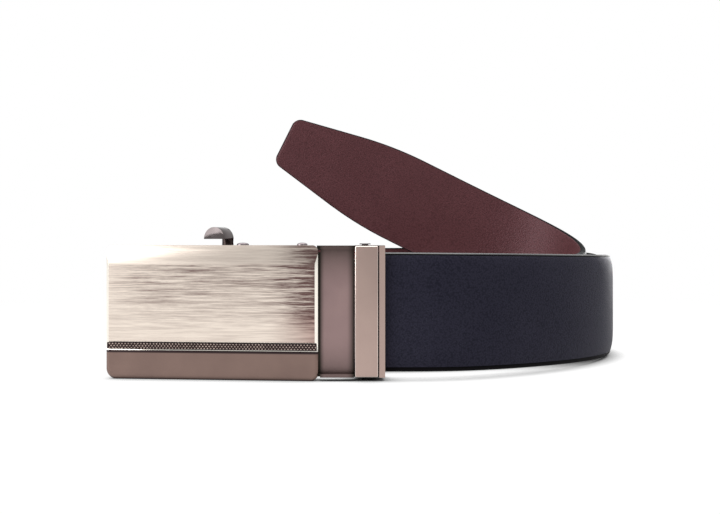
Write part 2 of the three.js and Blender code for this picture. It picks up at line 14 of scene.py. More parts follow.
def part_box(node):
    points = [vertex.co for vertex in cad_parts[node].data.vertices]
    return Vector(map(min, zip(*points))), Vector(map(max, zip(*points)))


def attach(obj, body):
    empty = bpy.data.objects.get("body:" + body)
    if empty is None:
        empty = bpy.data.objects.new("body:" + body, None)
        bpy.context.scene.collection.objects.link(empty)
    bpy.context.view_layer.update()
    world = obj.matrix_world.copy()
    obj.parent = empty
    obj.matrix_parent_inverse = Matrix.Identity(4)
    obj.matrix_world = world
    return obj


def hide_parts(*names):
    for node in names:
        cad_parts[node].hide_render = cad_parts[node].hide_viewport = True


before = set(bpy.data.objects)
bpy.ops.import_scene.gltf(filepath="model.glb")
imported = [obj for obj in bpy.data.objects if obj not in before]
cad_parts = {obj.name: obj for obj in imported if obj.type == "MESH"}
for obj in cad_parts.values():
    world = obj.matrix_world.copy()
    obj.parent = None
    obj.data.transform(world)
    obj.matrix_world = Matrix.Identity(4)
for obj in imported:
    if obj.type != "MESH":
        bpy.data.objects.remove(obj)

LOG = logging.getLogger("ratchet_belt")
MM = 0.001
# A finished piece shades smoothly over an edge that turns by less than this
SHARP_DEGREES = 34.0
# Joined solids are cleaned of doubles this close and of edges that turn by less than this
DOUBLE_MM = 0.0005
FLAT_DEGREES = 0.5
# The Mix node's sockets for colours, whose names are those of its other sockets too
SHARE, FIRST, SECOND, MIXED = 0, 6, 7, 2


class Leather(Enum):
    """Which surface of the strap a face belongs to, as its material number."""

    FACE = 0
    EDGE = 1
    BACK = 2
    RIM = 3


class PlateZone(Enum):
    """Which part of the face plate a face belongs to, as its material number."""

    BRUSHED = 0
    POLISHED = 1
    LOWER_BAND = 2


class NeckZone(Enum):
    """Which part of the neck a face belongs to, as its material number."""

    # Plating with painted shade at the web's ends, top and foot
    PAINTED_SHADE = 0
    LOOP = 1
    RUBBED = 2


class BandZone(Enum):
    """Which part of the clamp band a face belongs to, as its material number."""

    SATIN = 0
    RUBBED = 1


class Row(NamedTuple):
    """One row of a table of values along the coil."""

    turn: float
    values: tuple[float, ...]


def linear(colour: str) -> tuple[float, float, float, float]:
    """Turns an sRGB hex colour to linear.

    Args:
        colour: six hex digits after a hash sign.

    Returns:
        Red, green, blue and a full alpha.
    """
    parts = [int(colour[place:place + 2], 16) / 255 for place in (1, 3, 5)]
    low = [part / 12.92 if part <= 0.04045 else ((part + 0.055) / 1.055) ** 2.4 for part in parts]
    return (low[0], low[1], low[2], 1.0)


def add_node(tree: bpy.types.NodeTree, kind: str, inputs: Optional[dict[Any, Any]] = None,
             **settings: Any) -> bpy.types.Node:
    """Adds a node with its settings, values and links.

    Args:
        tree: the node tree that gets the node.
        kind: the node's type name.
        inputs: a value or an output socket for each input, by name or number.
        settings: the node's own properties.

    Returns:
        The new node.
    """
    node = tree.nodes.new(kind)
    for name, value in settings.items():
        setattr(node, name, value)
    for name, value in (inputs or {}).items():
        if isinstance(value, bpy.types.NodeSocket):
            tree.links.new(value, node.inputs[name])
        else:
            node.inputs[name].default_value = value
    return node


class Paint:
    """A material in the making: its tree and its shader."""

    def __init__(self, name: str) -> None:
        """Starts an empty material.

        Args:
            name: the material's name.
        """
        self.material = bpy.data.materials.new(name)
        self.material.use_nodes = True
        self.tree = self.material.node_tree
        self.tree.nodes.clear()
        self.shader = add_node(self.tree, "ShaderNodeBsdfPrincipled")
        self.output = add_node(self.tree, "ShaderNodeOutputMaterial", {
            "Surface": self.shader.outputs["BSDF"]})

    def set(self, **values: Any) -> "Paint":
        """Sets the shader's inputs.

        Args:
            values: a value or a socket for each input, with an underscore for each space in a name.

        Returns:
            The same material in the making.
        """
        for name, value in values.items():
            socket = self.shader.inputs[name.replace("_", " ")]
            if isinstance(value, bpy.types.NodeSocket):
                self.tree.links.new(value, socket)
            else:
                socket.default_value = value
        return self

    def millimetres(self, turn: float = 0.0, start: tuple[float, float, float] = (0, 0, 0),
                    stretch: tuple[float, float, float] = (1, 1, 1)) -> bpy.types.NodeSocket:
        """Gives object coordinates in millimetres from a start, turned about Z, then stretched.

        Args:
            turn: degrees that the pattern's own axes are turned by on the belt.
            start: the pattern's zero, in metres on the belt.
            stretch: factor for each of the pattern's axes.

        Returns:
            A vector socket.
        """
        place = add_node(self.tree, "ShaderNodeTexCoord").outputs["Object"]
        back = Matrix.Rotation(-math.radians(turn), 3, "Z")
        flat = add_node(self.tree, "ShaderNodeMapping", {
            "Vector": place, "Location": -(back @ Vector(start)) / MM,
            "Rotation": (0, 0, -math.radians(turn)), "Scale": (1 / MM, 1 / MM, 1 / MM)},
            vector_type="POINT")
        return add_node(self.tree, "ShaderNodeVectorMath", {
            0: flat.outputs["Vector"], 1: stretch}, operation="MULTIPLY").outputs["Vector"]


@dataclass(frozen=True)
class GrainedLeather:
    """Drum dyed cow leather with a printed pebble grain.

    The grain is small rounded cells with dark creases between them. Under light wax it has a soft
    sheen, and it wears a little lighter on the high spots.
    """

    name: str
    dye: str
    crease: str
    worn: str
    sheen_tint: str
    relief_mm: float
    roughness: float
    gloss: float
    sheen: float = 0.03
    grain_mm: float = 0.5
    pores_per_grain: float = 3.0
    patches_per_mm: float = 0.06

    def build(self) -> bpy.types.Material:
        """Makes the material."""
        paint = Paint(self.name)
        tree = paint.tree
        place = paint.millimetres()
        cells = add_node(tree, "ShaderNodeTexVoronoi", {
            "Vector": place, "Scale": 1 / self.grain_mm, "Smoothness": 0.4},
            feature="SMOOTH_F1").outputs["Distance"]
        pores = add_node(tree, "ShaderNodeTexNoise", {
            "Vector": place, "Scale": self.pores_per_grain / self.grain_mm, "Detail": 4.0}).outputs["Fac"]
        patches = add_node(tree, "ShaderNodeTexNoise", {
            "Vector": place, "Scale": self.patches_per_mm, "Detail": 3.0}).outputs["Fac"]
        pebbles = add_node(tree, "ShaderNodeMapRange", {
            "Value": cells, "From Min": 0.1, "From Max": 0.75, "To Min": 1.0, "To Max": 0.0})
        height = add_node(tree, "ShaderNodeMath", {
            0: pores, 1: 0.35, 2: pebbles.outputs["Result"]}, operation="MULTIPLY_ADD").outputs[0]
        creases = add_node(tree, "ShaderNodeMapRange", {
            "Value": cells, "From Min": 0.35, "From Max": 0.75}).outputs["Result"]
        dyed = add_node(tree, "ShaderNodeMix", {
            SHARE: creases, FIRST: linear(self.dye), SECOND: linear(self.crease)},
            data_type="RGBA").outputs[MIXED]
        specks = add_node(tree, "ShaderNodeMapRange", {
            "Value": pores, "From Min": 0.5, "From Max": 0.75}).outputs["Result"]
        handled = add_node(tree, "ShaderNodeMapRange", {
            "Value": patches, "From Min": 0.35, "From Max": 0.7}).outputs["Result"]
        wear = add_node(tree, "ShaderNodeMath", {0: specks, 1: handled}, operation="MULTIPLY").outputs[0]
        coloured = add_node(tree, "ShaderNodeMix", {
            SHARE: wear, FIRST: dyed, SECOND: linear(self.worn)}, data_type="RGBA").outputs[MIXED]
        rough = add_node(tree, "ShaderNodeMapRange", {
            "Value": pores, "From Min": 0.3, "From Max": 0.7, "To Min": self.roughness - 0.06,
            "To Max": self.roughness + 0.08}).outputs["Result"]
        bump = add_node(tree, "ShaderNodeBump", {
            "Height": height, "Distance": self.relief_mm * MM, "Strength": 1.0})
        return paint.set(
            Base_Color=coloured, Roughness=rough, Specular_IOR_Level=self.gloss,
            Specular_Tint=linear(self.sheen_tint), Sheen_Weight=self.sheen, Sheen_Roughness=0.4,
            Sheen_Tint=linear(self.sheen_tint), Normal=bump.outputs["Normal"]).material


@dataclass(frozen=True)
class EdgePaint:
    """Acrylic edge paint, brushed on in coats: black and faintly lumpy.

    One that is burnished to a gloss on the front run goes over to matt between two depths.
    """

    name: str
    colour: str
    roughness: float = 0.6
    gloss: float = 0.05
    matt_roughness: float = 0.6
    matt_gloss: float = 0.05
    lump_mm: float = 1.25
    relief_mm: float = 0.03
    fade: Optional[tuple[float, float]] = None

    def build(self) -> bpy.types.Material:
        """Makes the material."""
        paint = Paint(self.name)
        tree = paint.tree
        place = paint.millimetres()
        lumps = add_node(tree, "ShaderNodeTexNoise", {
            "Vector": place, "Scale": 1 / self.lump_mm, "Detail": 3.0}).outputs["Fac"]
        rough = add_node(tree, "ShaderNodeMapRange", {
            "Value": lumps, "From Min": 0.3, "From Max": 0.7, "To Min": self.roughness - 0.04,
            "To Max": self.roughness + 0.06}).outputs["Result"]
        bump = add_node(tree, "ShaderNodeBump", {
            "Height": lumps, "Distance": self.relief_mm * MM, "Strength": 1.0})
        paint.set(Base_Color=linear(self.colour), Roughness=rough, Specular_IOR_Level=self.gloss,
                  Normal=bump.outputs["Normal"])
        if self.fade is None:
            return paint.material
        depth = add_node(tree, "ShaderNodeSeparateXYZ", {"Vector": place}).outputs["Y"]
        dulled, gloss = [add_node(tree, "ShaderNodeMapRange", {
            "Value": depth, "From Min": self.fade[0], "From Max": self.fade[1], "To Min": shiny,
            "To Max": matt}).outputs["Result"] for shiny, matt in (
                (0.0, self.matt_roughness - self.roughness), (self.gloss, self.matt_gloss))]
        rough = add_node(tree, "ShaderNodeMath", {0: rough, 1: dulled}, operation="ADD").outputs[0]
        return paint.set(Roughness=rough, Specular_IOR_Level=gloss).material


@dataclass(frozen=True)
class BrushedNickel:
    """Zinc alloy, antique nickel plated, brushed lengthwise so that dark lines stay in the scratches.

    The brushing gives long streaks, darker towards the hinge end, on a pale champagne metal. The
    streaks are darker in a belt above the middle: within each limit, an axis with where it starts, where
    it is full and how much of it there is before the start. More of the darkening lies on the hinge end.
    """

    turn: float
    start: tuple[float, float, float]
    name: str = "brushed_antique_nickel"
    metal: str = "#f1e4d7"
    streak: str = "#634846"
    warm: str = "#b48f86"
    roughness: float = 0.33
    relief_mm: float = 0.006
    # Scratches are about 0.1 mm apart on the real plate and 0.3 mm here, so that they show
    fine: tuple[float, float, float] = (0.13, 0.13, 3.2)
    broad: tuple[float, float, float] = (0.035, 0.035, 0.8)
    belt_limits: tuple[tuple[str, float, float, float], ...] = (
        ("Z", 14.0, 29.0, 0.0), ("Z", 34.2, 33.4, 0.0), ("X", -58.0, -46.0, 0.2), ("X", 4.0, -24.0, 0.6))

    def build(self) -> bpy.types.Material:
        """Makes the material."""
        paint = Paint(self.name)
        tree = paint.tree
        axes = add_node(tree, "ShaderNodeSeparateXYZ", {
            "Vector": paint.millimetres(self.turn, self.start)}).outputs
        fine, broad = [add_node(tree, "ShaderNodeTexNoise", {
            "Vector": paint.millimetres(self.turn, self.start, stretch), "Scale": 1.0, "Detail": 5.0,
            "Roughness": rough}).outputs["Fac"] for stretch, rough in (
                (self.fine, 0.72), (self.broad, 0.7))]
        wide = add_node(tree, "ShaderNodeMath", {0: broad, 1: 0.38}, operation="MULTIPLY").outputs[0]
        marks = add_node(tree, "ShaderNodeMath", {
            0: fine, 1: 0.62, 2: wide}, operation="MULTIPLY_ADD").outputs[0]
        streaks = add_node(tree, "ShaderNodeMapRange", {
            "Value": marks, "From Min": 0.4, "From Max": 0.62}).outputs["Result"]
        belt: Any = 1.0
        for axis, begin, full, least in self.belt_limits:
            within = add_node(tree, "ShaderNodeMapRange", {
                "Value": axes[axis], "From Min": begin, "From Max": full, "To Min": least})
            belt = add_node(tree, "ShaderNodeMath", {
                0: within.outputs["Result"], 1: belt}, operation="MULTIPLY").outputs[0]
        near = add_node(tree, "ShaderNodeMapRange", {
            "Value": axes["X"], "From Min": -11.0, "From Max": 5.0}).outputs["Result"]
        end = add_node(tree, "ShaderNodeMath", {0: near, 1: 1.5}, operation="POWER").outputs[0]
        high, low = [add_node(tree, "ShaderNodeMapRange", {
            "Value": axes["Z"], "From Min": begin, "From Max": full, "To Min": least,
            "To Max": most}).outputs["Result"]
            for begin, full, least, most in ((13.5, 20.5, 0.2, 1.0), (22.0, 18.0, 0.0, 0.8))]
        side, rubbed = [add_node(tree, "ShaderNodeMath", {
            0: end, 1: share}, operation="MULTIPLY").outputs[0] for share in (high, low)]
        amount = add_node(tree, "ShaderNodeMath", {
            0: belt, 1: 0.62, 2: side}, operation="MULTIPLY_ADD").outputs[0]
        raised = add_node(tree, "ShaderNodeMath", {0: amount, 1: 0.3}, operation="ADD").outputs[0]
        even = add_node(tree, "ShaderNodeMath", {0: side, 1: 0.4}, operation="MULTIPLY").outputs[0]
        share = add_node(tree, "ShaderNodeMath", {
            0: streaks, 1: raised, 2: even}, operation="MULTIPLY_ADD").outputs[0]
        darkening = add_node(tree, "ShaderNodeMapRange", {"Value": share, "To Max": 0.97}).outputs["Result"]
        tone = add_node(tree, "ShaderNodeMix", {
            SHARE: rubbed, FIRST: linear(self.metal), SECOND: linear(self.warm)},
            data_type="RGBA").outputs[MIXED]
        coloured = add_node(tree, "ShaderNodeMix", {
            SHARE: darkening, FIRST: tone, SECOND: linear(self.streak)}, data_type="RGBA").outputs[MIXED]
        rough = add_node(tree, "ShaderNodeMapRange", {
            "Value": fine, "From Min": 0.2, "From Max": 0.8, "To Min": self.roughness - 0.06,
            "To Max": self.roughness + 0.08}).outputs["Result"]
        bump = add_node(tree, "ShaderNodeBump", {
            "Height": fine, "Distance": self.relief_mm * MM, "Strength": 1.0})
        return paint.set(Base_Color=coloured, Metallic=1.0, Roughness=rough,
                         Normal=bump.outputs["Normal"]).material


@dataclass(frozen=True)
class PlatedMetal:
    """Zinc alloy or steel with a tinted plating: satin where blasted, or polished.

    Satin plating has a very fine even grain; polished plating has faint smears and hairlines. Past each
    limit, in millimetres along an axis from the start, the colour goes over to a dark tone within a
    reach: painted shade in corners and under a lip.
    """

    name: str
    colour: str
    shade: str
    roughness: float
    relief_mm: float = 0.006
    grain_mm: float = 0.4
    smears_per_mm: float = 0.12
    # The dark tone past the limits: painted shade in corners and under a lip
    darkening: str = "#3a2f2f"
    darkening_power: float = 1.6
    limits: tuple[tuple[str, float, float], ...] = ()
    start: tuple[float, float, float] = (0, 0, 0)

    def build(self) -> bpy.types.Material:
        """Makes the material."""
        paint = Paint(self.name)
        tree = paint.tree
        place = paint.millimetres()
        grain = add_node(tree, "ShaderNodeTexNoise", {
            "Vector": place, "Scale": 1 / self.grain_mm, "Detail": 4.0, "Roughness": 0.6}).outputs["Fac"]
        smear = add_node(tree, "ShaderNodeTexNoise", {
            "Vector": place, "Scale": self.smears_per_mm, "Detail": 2.0}).outputs["Fac"]
        shaded = add_node(tree, "ShaderNodeMapRange", {
            "Value": smear, "From Min": 0.3, "From Max": 0.75}).outputs["Result"]
        coloured = add_node(tree, "ShaderNodeMix", {
            SHARE: shaded, FIRST: linear(self.colour), SECOND: linear(self.shade)},
            data_type="RGBA").outputs[MIXED]
        axes = add_node(tree, "ShaderNodeSeparateXYZ", {
            "Vector": paint.millimetres(start=self.start)}).outputs if self.limits else {}
        # Painted shade: past each limit the colour goes over to the dark tone
        for axis, clean, dark in self.limits:
            depth = add_node(tree, "ShaderNodeMapRange", {
                "Value": axes[axis], "From Min": clean, "From Max": dark}).outputs["Result"]
            share = add_node(tree, "ShaderNodeMath", {
                0: depth, 1: self.darkening_power}, operation="POWER").outputs[0]
            coloured = add_node(tree, "ShaderNodeMix", {
                SHARE: share, FIRST: coloured, SECOND: linear(self.darkening)},
                data_type="RGBA").outputs[MIXED]
        rough = add_node(tree, "ShaderNodeMapRange", {
            "Value": grain, "From Min": 0.25, "From Max": 0.75, "To Min": self.roughness - 0.05,
            "To Max": self.roughness + 0.07}).outputs["Result"]
        bump = add_node(tree, "ShaderNodeBump", {
            "Height": grain, "Distance": self.relief_mm * MM, "Strength": 1.0})
        return paint.set(Base_Color=coloured, Metallic=1.0, Roughness=rough,
                         Normal=bump.outputs["Normal"]).material


@dataclass(frozen=True)
class KnurledPlating:
    """The same antique plating on rolled knurling: black in the grooves, rubbed bright on the points.

    The two depths, in millimetres from the hinge, are those of the grooves and of the points.
    """

    turn: float
    start: tuple[float, float, float]
    name: str = "knurled_antique_plating"
    groove: str = "#372c2d"
    point: str = "#cbb9af"
    groove_at: float = -3.705
    point_at: float = -3.78
    wear_mm: float = 2.0
    roughness: float = 0.28

    def build(self) -> bpy.types.Material:
        """Makes the material."""
        paint = Paint(self.name)
        tree = paint.tree
        depth = add_node(tree, "ShaderNodeSeparateXYZ", {
            "Vector": paint.millimetres(self.turn, self.start)}).outputs["Y"]
        raised = add_node(tree, "ShaderNodeMapRange", {
            "Value": depth, "From Min": self.groove_at, "From Max": self.point_at}).outputs["Result"]
        wear = add_node(tree, "ShaderNodeTexNoise", {
            "Vector": paint.millimetres(), "Scale": 1 / self.wear_mm, "Detail": 3.0}).outputs["Fac"]
        worn, rough = [add_node(tree, "ShaderNodeMapRange", {
            "Value": wear, "From Min": begin, "From Max": full, "To Min": least,
            "To Max": most}).outputs["Result"] for begin, full, least, most in (
                (0.25, 0.6, 0.5, 1.0), (0.3, 0.7, self.roughness, self.roughness + 0.1))]
        rubbed = add_node(tree, "ShaderNodeMath", {0: raised, 1: worn}, operation="MULTIPLY").outputs[0]
        coloured = add_node(tree, "ShaderNodeMix", {
            SHARE: rubbed, FIRST: linear(self.groove), SECOND: linear(self.point)},
            data_type="RGBA").outputs[MIXED]
        return paint.set(Base_Color=coloured, Metallic=1.0, Roughness=rough).material


@dataclass(frozen=True)
class MouldedNylon:
    """Injection moulded black nylon: dull, with a faint flow pattern that is paler where it is worn."""

    name: str = "moulded_black_nylon"
    colour: str = "#1c1b1e"
    worn: str = "#3a393d"
    flow_per_mm: float = 0.9
    relief_mm: float = 0.02

    def build(self) -> bpy.types.Material:
        """Makes the material."""
        paint = Paint(self.name)
        tree = paint.tree
        flow = add_node(tree, "ShaderNodeTexNoise", {
            "Vector": paint.millimetres(), "Scale": self.flow_per_mm, "Detail": 4.0}).outputs["Fac"]
        pale, rough = [add_node(tree, "ShaderNodeMapRange", {
            "Value": flow, "From Min": begin, "From Max": full, "To Min": least,
            "To Max": most}).outputs["Result"] for begin, full, least, most in (
                (0.45, 0.8, 0.0, 1.0), (0.3, 0.7, 0.42, 0.58))]
        coloured = add_node(tree, "ShaderNodeMix", {
            SHARE: pale, FIRST: linear(self.colour), SECOND: linear(self.worn)},
            data_type="RGBA").outputs[MIXED]
        bump = add_node(tree, "ShaderNodeBump", {
            "Height": flow, "Distance": self.relief_mm * MM, "Strength": 1.0})
        return paint.set(Base_Color=coloured, Roughness=rough, Normal=bump.outputs["Normal"]).material


@dataclass(frozen=True)
class PaleCard:
    """Matt white card mixed with a white glow, which ambient occlusion dims into a painted contact shadow
    round the belt.

    Further out it goes over into the white of the studio. The lengths are in metres.
    """

    name: str = "white_card"
    colour: str = "#fbfafa"
    # The share of the card that is a white glow with a painted contact shadow, and how far that painted
    # shadow reaches
    lit: float = 0.97
    shadow_reach: float = 0.008
    near: float = 0.13
    far: float = 0.36

    def build(self) -> bpy.types.Material:
        """Makes the material."""
        paint = Paint(self.name)
        tree = paint.tree
        paint.set(Base_Color=linear(self.colour), Roughness=0.9, Specular_IOR_Level=0.1)
        # Painted contact shadow: ambient occlusion near the belt dims the white glow
        closed = add_node(tree, "ShaderNodeAmbientOcclusion", {
            "Distance": self.shadow_reach}, samples=8).outputs["AO"]
        strength = add_node(tree, "ShaderNodeMapRange", {
            "Value": closed, "From Min": 0.15, "From Max": 0.85, "To Max": 1.03}).outputs["Result"]
        place = add_node(tree, "ShaderNodeTexCoord").outputs["Object"]
        reach = add_node(tree, "ShaderNodeVectorMath", {0: place}, operation="LENGTH").outputs["Value"]
        away = add_node(tree, "ShaderNodeMapRange", {
            "Value": reach, "From Min": self.near, "From Max": self.far}).outputs["Result"]
        surface = paint.shader.outputs["BSDF"]
        for share, glow in ((self.lit, strength), (away, 1.0)):
            white = add_node(tree, "ShaderNodeEmission", {"Color": (1, 1, 1, 1), "Strength": glow})
            surface = add_node(tree, "ShaderNodeMixShader", {
                0: share, 1: surface, 2: white.outputs["Emission"]}).outputs["Shader"]
        tree.links.new(surface, paint.output.inputs["Surface"])
        return paint.material


def link_object(name: str, mesh: bpy.types.Mesh) -> bpy.types.Object:
    """Makes an object of a mesh and links it to the scene.

    Args:
        name: the object's name.
        mesh: its mesh.

    Returns:
        The object.
    """
    piece = bpy.data.objects.new(name, mesh)
    bpy.context.scene.collection.objects.link(piece)
    return piece


def show(name: str, mesh: bpy.types.Mesh, body: str,
         nodes: Sequence[str] = ()) -> bpy.types.Object:
    """Puts a finished mesh, in metres on the belt, on a body and reports it.

    Args:
        name: the piece's name.
        mesh: its mesh, with its materials.
        body: the body that it moves with.
        nodes: the solids that it stands for.

    Returns:
        The piece.
    """
    piece = link_object(name, mesh)
    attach(piece, body)
    if nodes:
        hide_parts(*nodes)
    LOG.info("%s on %s: %d faces", name, body, len(mesh.polygons))
    return piece


def evaluated(piece: bpy.types.Object) -> bpy.types.Mesh:
    """Applies an object's modifiers and removes the object.

    Args:
        piece: the object, whose own mesh goes too where nothing else uses it.

    Returns:
        A plain mesh.
    """
    graph = bpy.context.evaluated_depsgraph_get()
    mesh = bpy.data.meshes.new_from_object(piece.evaluated_get(graph), depsgraph=graph)
    old = piece.data
    bpy.data.objects.remove(piece)
    if old.users == 0:
        bpy.data.meshes.remove(old)
    return mesh


class Solid:
    """A closed body in millimetres, made of slabs and rods that are joined and cut."""

    def __init__(self, mesh: bpy.types.Mesh) -> None:
        """Keeps the mesh."""
        self.mesh = mesh

    @classmethod
    def taken(cls, form: bmesh.types.BMesh) -> "Solid":
        """Turns a bmesh to a solid whose faces point outwards, and frees it.

        Args:
            form: the bmesh, closed.

        Returns:
            The solid.
        """
        bmesh.ops.recalc_face_normals(form, faces=form.faces)
        mesh = bpy.data.meshes.new("solid")
        form.to_mesh(mesh)
        form.free()
        return cls(mesh)

    @staticmethod
    def skin(form: bmesh.types.BMesh, rings: Sequence[Sequence[bmesh.types.BMVert]]) -> None:
        """Spans faces from ring to ring.

        Args:
            form: the bmesh that gets them.
            rings: closed rings with the same number of corners each.
        """
        for near, far in zip(rings, rings[1:]):
            for number in range(len(near)):
                after = (number + 1) % len(near)
                form.faces.new((near[number], near[after], far[after], far[number]))

    @classmethod
    def stacked(cls, outlines: Sequence[Sequence[tuple[float, float, float]]]) -> "Solid":
        """Joins closed outlines of equal length to a body with an end face on each end.

        Args:
            outlines: the points of each outline, one outline after another along the body.

        Returns:
            The solid.
        """
        form = bmesh.new()
        rings = [[form.verts.new(point) for point in outline] for outline in outlines]
        cls.skin(form, rings)
        form.faces.new(rings[0])
        form.faces.new(rings[-1])
        return cls.taken(form)

    @classmethod
    def slab(cls, outline: Sequence[tuple[float, float]], low: float, high: float) -> "Solid":
        """Raises an outline in the XY plane.

        Args:
            outline: its points, across and in depth.
            low: the height that it starts from.
            high: the height that it reaches.

        Returns:
            The solid.
        """
        form = bmesh.new()
        face = form.faces.new([form.verts.new((x, y, low)) for x, y in outline])
        raised = bmesh.ops.extrude_face_region(form, geom=[face])["geom"]
        bmesh.ops.translate(form, vec=(0, 0, high - low),
                            verts=[item for item in raised if isinstance(item, bmesh.types.BMVert)])
        return cls.taken(form)

    @classmethod
    def block(cls, left: float, right: float, front: float, back: float, low: float,
              high: float) -> "Solid":
        """Makes a block between two limits on each axis."""
        return cls.slab([(left, front), (right, front), (right, back), (left, back)], low, high)

    @classmethod
    def lathe(cls, x: float, y: float, profile: Sequence[tuple[float, float]], sides: int = 48) -> "Solid":
        """Turns a profile about an upright axis.

        Args:
            x: the axis's place across.
            y: the axis's place in depth.
            profile: a radius and a height for each step.
            sides: how many sides stand for the round.

        Returns:
            The solid.
        """
        form = bmesh.new()
        angles = [2 * math.pi * side / sides for side in range(sides)]
        rings = [[form.verts.new((x + radius * math.cos(a), y + radius * math.sin(a), height))
                  for a in angles] for radius, height in profile]
        cls.skin(form, rings)
        form.faces.new(list(reversed(rings[0])))
        form.faces.new(rings[-1])
        return cls.taken(form)

    @classmethod
    def rod(cls, x: float, y: float, radius: float, low: float, high: float) -> "Solid":
        """Makes an upright rod."""
        return cls.lathe(x, y, [(radius, low), (radius, high)])

    def moved(self, matrix: Matrix) -> "Solid":
        """Moves or turns the solid."""
        self.mesh.transform(matrix)
        return self

    def _with(self, others: Sequence["Solid"], operation: str) -> "Solid":
        """Joins, cuts or keeps by other solids, which are used up.

        Args:
            others: the other solids.
            operation: what the Boolean modifier does with them.

        Returns:
            The same solid.
        """
        whole = link_object("solid", self.mesh)
        tools = [link_object("tool", other.mesh) for other in others]
        for tool in tools:
            change = whole.modifiers.new("shape", "BOOLEAN")
            change.operation = operation
            change.solver = "EXACT"
            change.object = tool
        self.mesh = evaluated(whole)
        for tool in tools:
            used = tool.data
            bpy.data.objects.remove(tool)
            bpy.data.meshes.remove(used)
        return self

    def joined(self, *others: "Solid") -> "Solid":
        """Adds other solids."""
        return self._with(others, "UNION")

    def cut(self, *others: "Solid") -> "Solid":
        """Takes other solids away."""
        return self._with(others, "DIFFERENCE")

    def kept(self, other: "Solid") -> "Solid":
        """Keeps what lies in another solid too."""
        return self._with((other,), "INTERSECT")

    def softened(self, width: float, steps: int = 3, degrees: float = 30.0) -> "Solid":
        """Rounds the solid's edges.

        Args:
            width: how far the rounding reaches from an edge.
            steps: how many faces stand for it.
            degrees: only edges that turn by more than this are rounded.

        Returns:
            The same solid.
        """
        form = bmesh.new()
        form.from_mesh(self.mesh)
        bmesh.ops.remove_doubles(form, verts=form.verts, dist=DOUBLE_MM)
        bmesh.ops.dissolve_limit(form, angle_limit=math.radians(FLAT_DEGREES), verts=form.verts,
                                 edges=form.edges)
        form.to_mesh(self.mesh)
        form.free()
        whole = link_object("solid", self.mesh)
        change = whole.modifiers.new("soft", "BEVEL")
        change.width = width
        change.segments = steps
        change.limit_method = "ANGLE"
        change.angle_limit = math.radians(degrees)
        change.use_clamp_overlap = True
        self.mesh = evaluated(whole)
        return self

    def finished(self, place: Matrix, *finishes: bpy.types.Material) -> bpy.types.Mesh:
        """Puts the solid on the belt and dresses it, smooth but for its sharp edges.

        Args:
            place: where its axes are on the belt, in metres.
            finishes: its materials, in the order of its faces' numbers.

        Returns:
            The mesh, in metres.
        """
        self.mesh.transform(Matrix.Scale(MM, 4))
        self.mesh.transform(place)
        for finish in finishes:
            self.mesh.materials.append(finish)
        self.mesh.shade_smooth()
        self.mesh.set_sharp_from_angle(angle=math.radians(SHARP_DEGREES))
        return self.mesh


class Growth:
    """A Geometry Nodes tree in the making, with named inputs for its sizes."""

    def __init__(self, name: str, sizes: dict[str, float]) -> None:
        """Starts a tree with a geometry input and one input for each size.

        Args:
            name: the tree's name.
            sizes: each size's name and value.
        """
        self.tree = bpy.data.node_groups.new(name, "GeometryNodeTree")
        face = self.tree.interface
        face.new_socket("Geometry", in_out="INPUT", socket_type="NodeSocketGeometry")
        for label, value in sizes.items():
            face.new_socket(label, in_out="INPUT", socket_type="NodeSocketFloat").default_value = value
        face.new_socket("Geometry", in_out="OUTPUT", socket_type="NodeSocketGeometry")
        self.sizes = sizes
        self.given = add_node(self.tree, "NodeGroupInput").outputs

    def grown(self, base: bpy.types.Mesh, parts: Sequence[bpy.types.NodeSocket],
              finish: bpy.types.Material) -> bpy.types.Mesh:
        """Ends the tree in real geometry with one finish and runs it on a mesh.

        Args:
            base: the mesh that the tree starts from.
            parts: the sockets of the tree's geometry, to be joined.
            finish: the material of all of it.

        Returns:
            A plain mesh.
        """
        both = add_node(self.tree, "GeometryNodeJoinGeometry")
        for part in parts:
            self.tree.links.new(part, both.inputs["Geometry"])
        real = add_node(self.tree, "GeometryNodeRealizeInstances", {"Geometry": both.outputs["Geometry"]})
        dressed = add_node(self.tree, "GeometryNodeSetMaterial", {
            "Geometry": real.outputs["Geometry"], "Material": finish})
        add_node(self.tree, "NodeGroupOutput", {"Geometry": dressed.outputs["Geometry"]})
        carrier = link_object("carrier", base)
        change = carrier.modifiers.new("growth", "NODES")
        change.node_group = self.tree
        for item in self.tree.interface.items_tree:
            if item.item_type == "SOCKET" and item.in_out == "INPUT" and item.name in self.sizes:
                change[item.identifier] = float(self.sizes[item.name])
        return evaluated(carrier)


class Station(NamedTuple):
    """One place along the strap, at mid width on its outer face, in millimetres."""

    turn: float
    place: Vector
    ahead: Vector
    inward: Vector
    up: Vector
    half: float


def ease(value: float, low: float, high: float) -> float:
    """Gives 0 below a range, 1 above it and a smooth rise in it."""
    share = min(max((value - low) / (high - low), 0.0), 1.0)
    return share * share * (3 - 2 * share)


def blend_rows(rows: Sequence[Row], turn: float) -> list[float]:
    """Gives the values between the two rows round a turn, eased at both ends.

    Args:
        rows: the table, in the order of its turns.
        turn: how many turns along the coil.

    Returns:
        One value for each column.
    """
    passed = sum(1 for row in rows if row.turn < turn)
    after = min(max(passed, 1), len(rows) - 1)
    start, end = rows[after - 1], rows[after]
    share = ease(turn, start.turn, end.turn)
    return [a + (b - a) * share for a, b in zip(start.values, end.values)]


